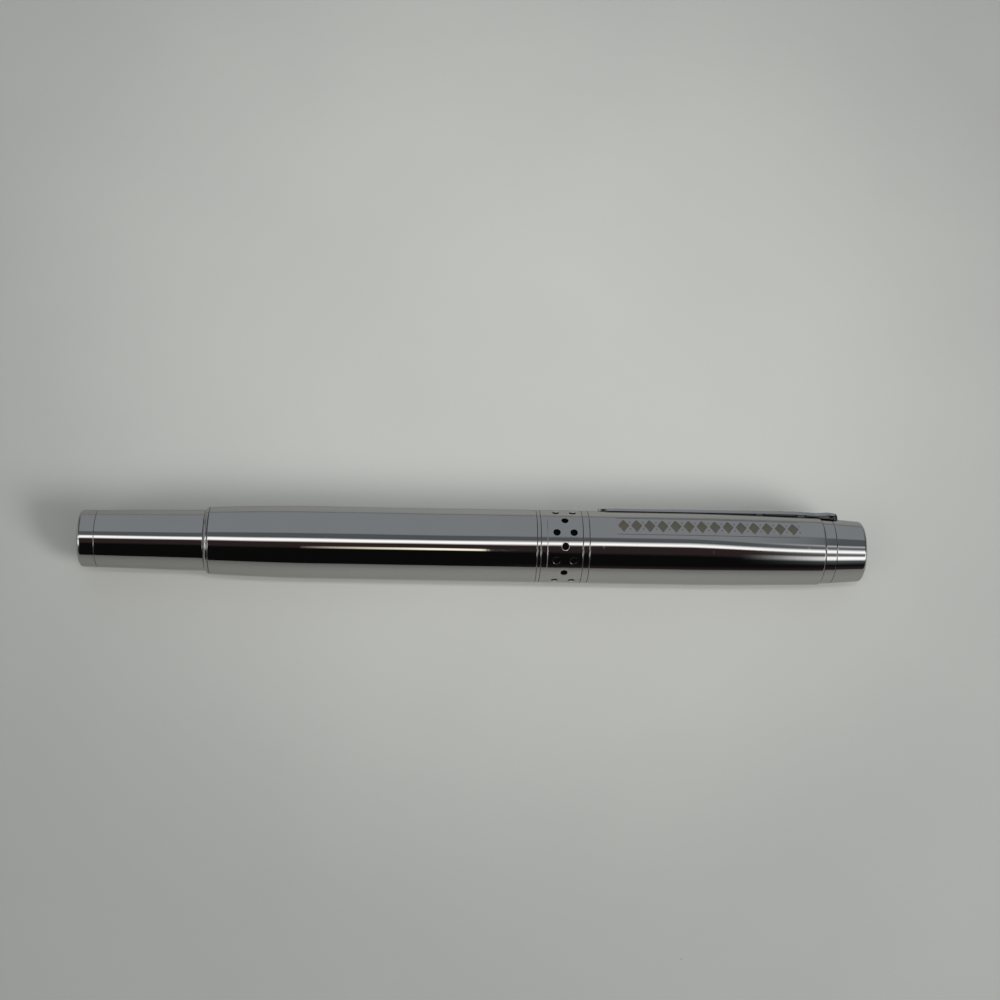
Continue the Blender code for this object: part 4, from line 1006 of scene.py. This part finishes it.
# The flat strip: places along it, closer at the tip and in the square cells round the holes, then the
# section that joins them, with its heights as shares of the thickness.
flat_half = HALF_WIDTH - BEVEL
bevelled = outline(
    [
        (flat_half, 0.5),
        (flat_half + TOP_EDGE, 0.5, 0.008, 4),
        (HALF_WIDTH, -0.5, 0.06, 4),
        (flat_half, -0.5),
    ]
)[1:-1]
cells = [path_place(CLIP_TIP + x) for x in HOLES_FROM_TIP]
CELL, CELL_STEPS, WIDTH_STEPS = 1.8, 12, 14
LONG_STEP, SHORT_STEP = 0.6, 0.15
marks = [0, 0.05, 0.12, 0.25, 0.45, 0.7, 1.0, 1.3]
edge = TIP_LENGTH
for middle in cells:
    count = max(2, round((middle - CELL - edge) / LONG_STEP))
    marks += [edge + (middle - CELL - edge) * step / count for step in range(count)]
    marks += [middle - CELL + 2 * CELL * step / CELL_STEPS for step in range(CELL_STEPS)]
    edge = middle + CELL
count = round((path_length - edge) / SHORT_STEP)
marks += [edge + (path_length - edge) * step / count for step in range(count + 1)]
sides = [flat_half * (2 * step / WIDTH_STEPS - 1) for step in range(WIDTH_STEPS + 1)]
section = [(y, 0.5) for y in sides] + [tuple(point) for point in bevelled]
section += [(y, -0.5) for y in reversed(sides)] + [(-y, h) for y, h in reversed(bevelled)]
strip = bmesh.new()
rings = [[strip.verts.new((mark, y, h)) for y, h in section] for mark in marks]
bottom_first = len(sides) + len(bevelled)
skins = {*range(WIDTH_STEPS), *range(bottom_first, bottom_first + WIDTH_STEPS)}
for ring, following, mark, next_mark in zip(rings, rings[1:], marks, marks[1:]):
    in_cell = any(abs((mark + next_mark) / 2 - cell) < CELL for cell in cells)
    for step in range(len(section)):
        if in_cell and step in skins:
            continue
        after = (step + 1) % len(section)
        strip.faces.new((ring[step], ring[after], following[after], following[step]))
strip.faces.new(rings[0])
strip.faces.new(rings[-1])
for cell in cells:
    half, steps = (CELL, flat_half), (CELL_STEPS, WIDTH_STEPS)
    pierce(strip, (cell, 0), half, steps, CLIP_HOLE, CLIP_RIM, 0.5, -0.5)
bmesh.ops.remove_doubles(strip, verts=strip.verts, dist=0.002)
leg_start = path_place(CROWN_END)
for point in strip.verts:
    thickness = THIN + (THICK - THIN) * point.co.x / path_length
    swell = math.sqrt(min(1, max(0, point.co.x) / TIP_LENGTH))
    width = TIP_HALF_WIDTH + (HALF_WIDTH - TIP_HALF_WIDTH) * swell
    share = point.co.y / HALF_WIDTH
    crowned = CROWN * min(1, max(0, leg_start - point.co.x) / CROWN_FADE)
    point.co.y *= width / HALF_WIDTH
    point.co.z = point.co.z * thickness - crowned * share**2

path_mesh = bpy.data.meshes.new("clip_path")
path_edges = [(i, i + 1) for i in range(len(clip_path) - 1)]
path_mesh.from_pydata([(x * MM, 0, height * MM) for x, height in clip_path], path_edges, [])
path_line = new_object("clip_path", path_mesh)

# Bends a flat strip along a path in the XZ plane: X becomes the length run, and Z the height above
# it. Then the strip is turned round the pen to its side.
bending, sizes = new_tree("strip bent along its path", {"Path": "Object", "Turn": "Float"})
path = add(bending, "GeometryNodeObjectInfo", {"Object": sizes["Path"]})
curve = add(bending, "GeometryNodeMeshToCurve", {"Mesh": path.outputs["Geometry"]})
at = places(bending)
sample = add(bending, "GeometryNodeSampleCurve", {"Curves": curve, "Length": at["X"]}, mode="LENGTH")
tangent = add(bending, "ShaderNodeSeparateXYZ", {0: sample.outputs["Tangent"]}).outputs
downwards = add(bending, "ShaderNodeMath", {0: tangent["Z"], 1: -1}, operation="MULTIPLY")
outward = add(bending, "ShaderNodeCombineXYZ", {"X": downwards, "Z": tangent["X"]})
risen = add(bending, "ShaderNodeVectorMath", {0: outward, "Scale": at["Z"]}, operation="SCALE")
sideways = add(bending, "ShaderNodeCombineXYZ", {"Y": at["Y"]})
above = add(bending, "ShaderNodeVectorMath", {0: sample.outputs["Position"], 1: risen}, operation="ADD")
bent = add(bending, "ShaderNodeVectorMath", {0: above, 1: sideways}, operation="ADD")
formed = add(bending, "GeometryNodeSetPosition", {"Geometry": sizes["Mesh"], "Position": bent})
rotation = add(bending, "ShaderNodeCombineXYZ", {"X": sizes["Turn"]})
swung = add(bending, "GeometryNodeTransform", {"Geometry": formed, "Rotation": rotation})
end_tree(bending, swung, sizes)
flat_clip = as_mesh("clip_blank", strip, 0.0005)
clip = shaped("clip_bent", flat_clip, bending, path=path_line, turn=CLIP_TURN, finish=bright_chrome)
bpy.data.objects.remove(path_line)
install("clip_finished", smooth(clip), "clip", "chrome", "clip")

# --- Table ---
# A pale grey laminate table top, matt, with the faintest mottle and a few specks of dust. It reaches
# 20 m each way, so that its far edge lies near the horizon in every view.
laminate, tree, shader, coordinates = new_finish("pale_grey_laminate")
mottle, tone = mottled(tree, coordinates, 40, 5, "#B7B7B3", "#BFC0BB")
specks = add(tree, "ShaderNodeTexVoronoi", {"Vector": coordinates, "Scale": per_mm(19)})
speck = add(
    tree,
    "ShaderNodeMapRange",
    {"Value": specks, "From Min": 0.006, "From Max": 0.014, "To Min": 0.35, "To Max": 0},
)
dusty = add(
    tree, "ShaderNodeMix", {"Factor": speck, "A": tone, "B": linear("#5A584F")}, data_type="RGBA"
)
look = {"Base Color": dusty.outputs["Result"], "Roughness": 0.6, "Specular IOR Level": 0.2}
plug_in(tree, shader, look)
TABLE_HALF, TABLE_GAP = 20000, 0.005
corners = [(-1, -1), (1, -1), (1, 1), (-1, 1)]
level = -(BODY + TABLE_GAP) * MM
table_mesh = bpy.data.meshes.new("table_top")
table_mesh.from_pydata(
    [(x * TABLE_HALF * MM, y * TABLE_HALF * MM, level) for x, y in corners], [], [(0, 1, 2, 3)]
)
table_mesh.materials.append(laminate)
new_object("table_top", table_mesh)

# --- Light ---
# Soft studio light: bands round the pen's axis, from the front horizon over the top to the back, with
# a dark side in front, one bright strip overhead and a pale wall behind. Towards the cap's end they
# shift and a second strip comes in low in front. Both sides have broader bands, and the ends are plain.
# The tones of the studio, all of them plain. A band runs from one place, in degrees, to the next.
DARK, BROWN, DIM, WALL, PALE = "#0A0A0A", "#282020", "#4C5054", "#74787C", "#B0B4B8"
WHITE, WARM = "#FFFFFF", "#FFF8E0"
BARREL_BANDS = [
    (0, DARK),
    (50, DARK),
    (56, BROWN),
    (70, BROWN),
    (75, WHITE),
    (79, WHITE),
    (84, DIM),
    (97, DIM),
    (100, WALL),
    (180, WALL),
]
CAP_BANDS = [
    (0, BROWN),
    (12, DARK),
    (46, DARK),
    (54, BROWN),
    (73, BROWN),
    (77, WHITE),
    (80, WHITE),
    (88, DIM),
    (98, DIM),
    (102, WALL),
    (180, WALL),
]
END_BANDS = [
    (0, BROWN),
    (22, DARK),
    (40, DIM),
    (48, WHITE),
    (55, WHITE),
    (62, DIM),
    (70, WALL),
    (76, WHITE),
    (80, WHITE),
    (90, DIM),
    (98, WALL),
    (101, PALE),
    (107, DIM),
    (133, DIM),
    (138, WALL),
    (180, WALL),
]
SIDE_BANDS = [
    (0, "#302E2C"),
    (24, "#222222"),
    (36, "#585858"),
    (46, "#F0F0EC"),
    (58, "#F6F6F4"),
    (66, "#8A8C8E"),
    (74, "#F8F8F8"),
    (80, "#8A8E92"),
    (90, "#343638"),
    (130, "#242628"),
    (160, "#3C3E40"),
    (180, "#5A5C5E"),
]
PLAIN_END = "#888A8B"
STRENGTH = 2.3


def set_stops(ramp, stops):
    """Fills a colour ramp with stops, each a place from 0 to 1 and an sRGB hex colour."""
    for number, (place, colour) in enumerate(stops):
        stop = ramp.elements[number] if number < 2 else ramp.elements.new(place)
        stop.position = place
        stop.color = linear(colour)


world = bpy.data.worlds.new("soft_studio")
bpy.context.scene.world = world
world.use_nodes = True
tree = world.node_tree
direction = add(tree, "ShaderNodeTexCoord").outputs["Generated"]
at = add(tree, "ShaderNodeSeparateXYZ", {0: direction}).outputs
forward = add(tree, "ShaderNodeMath", {0: at["Y"], 1: -1}, operation="MULTIPLY")
lift = add(tree, "ShaderNodeMath", {0: at["Z"], 1: forward}, operation="ARCTAN2")
half_turns = add(tree, "ShaderNodeMath", {0: lift, 1: math.pi}, operation="DIVIDE")

# Shares that change from the left to the right of the studio, each between two places across it.
shares = []
for start, end, low, high in (
    (0.19, 0.33, 1, 1.165),
    (0.03, 0.15, 0, 1),
    (0.245, 0.37, 0, 1),
    (-0.26, -0.50, 0, 1),
    (0.46, 0.62, 0, 1),
    (-0.62, -0.86, 0, 1),
    (0.78, 0.92, 0, 1),
):
    share = add(
        tree,
        "ShaderNodeMapRange",
        {"Value": at["X"], "From Min": start, "From Max": end, "To Min": low, "To Max": high},
        interpolation_type="SMOOTHSTEP",
    )
    shares.append(share)
shift, to_cap, to_end, to_left, to_right, far_left, far_right = shares
shifted = add(tree, "ShaderNodeMath", {0: half_turns, 1: shift}, operation="MULTIPLY")
parts = []
for stops in (BARREL_BANDS, CAP_BANDS, END_BANDS, SIDE_BANDS):
    bands = add(tree, "ShaderNodeValToRGB", {"Fac": shifted})
    set_stops(bands.color_ramp, [(degrees / 180, colour) for degrees, colour in stops])
    parts.append(bands)

# A warm lamp far off in front: its glow fades in from the left, ends sharply, and is 8 degrees deep.
GLOW_HEIGHT, GLOW_HALF, GLOW_CORE = 55.0, 4.2, 0.4
GLOW = [(-0.08, BROWN), (0.015, WARM), (0.052, WARM), (0.058, BROWN)]
glow_left, glow_right = GLOW[0][0], GLOW[-1][0]
off_height = add(tree, "ShaderNodeMath", {0: half_turns, 1: GLOW_HEIGHT / 180}, operation="SUBTRACT")
off_by = add(tree, "ShaderNodeMath", {0: off_height}, operation="ABSOLUTE")
glow_half = GLOW_HALF / 180
fading = {"From Min": GLOW_CORE * glow_half, "From Max": glow_half, "To Min": 1, "To Max": 0}
depth = add(tree, "ShaderNodeMapRange", {"Value": off_by, **fading}, interpolation_type="SMOOTHSTEP")
glow_place = add(
    tree, "ShaderNodeMapRange", {"Value": at["X"], "From Min": glow_left, "From Max": glow_right}
)
glow = add(tree, "ShaderNodeValToRGB", {"Fac": glow_place})
glow_span = glow_right - glow_left
set_stops(glow.color_ramp, [((place - glow_left) / glow_span, colour) for place, colour in GLOW])
from_left = add(tree, "ShaderNodeMath", {0: at["X"], 1: glow_left}, operation="GREATER_THAN")
from_right = add(tree, "ShaderNodeMath", {0: at["X"], 1: glow_right}, operation="LESS_THAN")
within = add(tree, "ShaderNodeMath", {0: from_left, 1: from_right}, operation="MULTIPLY")
in_glow = add(tree, "ShaderNodeMath", {0: within, 1: depth}, operation="MULTIPLY")

sky = parts[0]
for share, colour in (
    (in_glow, glow),
    (to_cap, parts[1]),
    (to_end, parts[2]),
    (to_left, parts[3]),
    (to_right, parts[3]),
    (far_left, linear(PLAIN_END)),
    (far_right, linear(PLAIN_END)),
):
    layer = add(tree, "ShaderNodeMix", {"Factor": share, "A": sky, "B": colour}, data_type="RGBA")
    sky = layer.outputs["Result"]
plug_in(tree, tree.nodes["Background"], {"Color": sky, "Strength": STRENGTH})

# Two soft lamps aimed behind the cap: a broad key high on the right in front, which fades out towards
# the edges of the table, and a small one overhead. Each has its target, the way from there to the
# lamp, its distance, its radius, the degrees of its cone, and its power in watts.
LAMPS = {
    "key_lamp": ((104, 46, 0), (1.08, -0.88, 1.0), 700, 165, 35, 17.0),
    "overhead_lamp": ((75, 42, 0), (0.02, -0.31, 1.0), 365, 16, 34, 1.25),
}
for name, (target, way, distance, radius, cone, power) in LAMPS.items():
    away = Vector(way).normalized()
    light = bpy.data.lights.new(name, "SPOT")
    light.spot_size = math.radians(cone)
    light.spot_blend = 1
    light.shadow_soft_size = radius * MM
    light.energy = power
    holder = new_object(name, light)
    holder.location = (Vector(target) + away * distance) * MM
    holder.rotation_euler = away.to_track_quat("Z", "Y").to_euler()
    holder.visible_glossy = False

# --- Camera ---
# Looks down at the pen at about 70 degrees from a little over a quarter of a metre, square to it, and
# is held one degree off level. The frame is cut from the left part of its view, hence the shift.
FRAME_PIXELS = 1000
FOCAL_PIXELS = 1503
DISTANCE = 265
ELEVATION = math.radians(70)
TILT = math.radians(0.995)
facing = Vector((57.0, 0, 0))
FACING_PIXEL = (405.0, 543.85)
away = Vector((0, -math.cos(ELEVATION), math.sin(ELEVATION)))
level_up = Vector((0, math.sin(ELEVATION), math.cos(ELEVATION)))
right = Vector((1, 0, 0)) * math.cos(TILT) + level_up * math.sin(TILT)
up = away.cross(right)
lens = bpy.data.cameras.new("camera")
lens.sensor_width = 36
lens.lens = lens.sensor_width * FOCAL_PIXELS / FRAME_PIXELS
lens.shift_x = 0.5 - FACING_PIXEL[0] / FRAME_PIXELS
lens.shift_y = FACING_PIXEL[1] / FRAME_PIXELS - 0.5
lens.clip_start = 0.01
camera = new_object("camera", lens)
turn = Matrix((right, up, away)).transposed().to_4x4()
camera.matrix_world = Matrix.Translation((facing + away * DISTANCE) * MM) @ turn
bpy.context.scene.camera = camera
bpy.context.scene.view_settings.view_transform = "Standard"
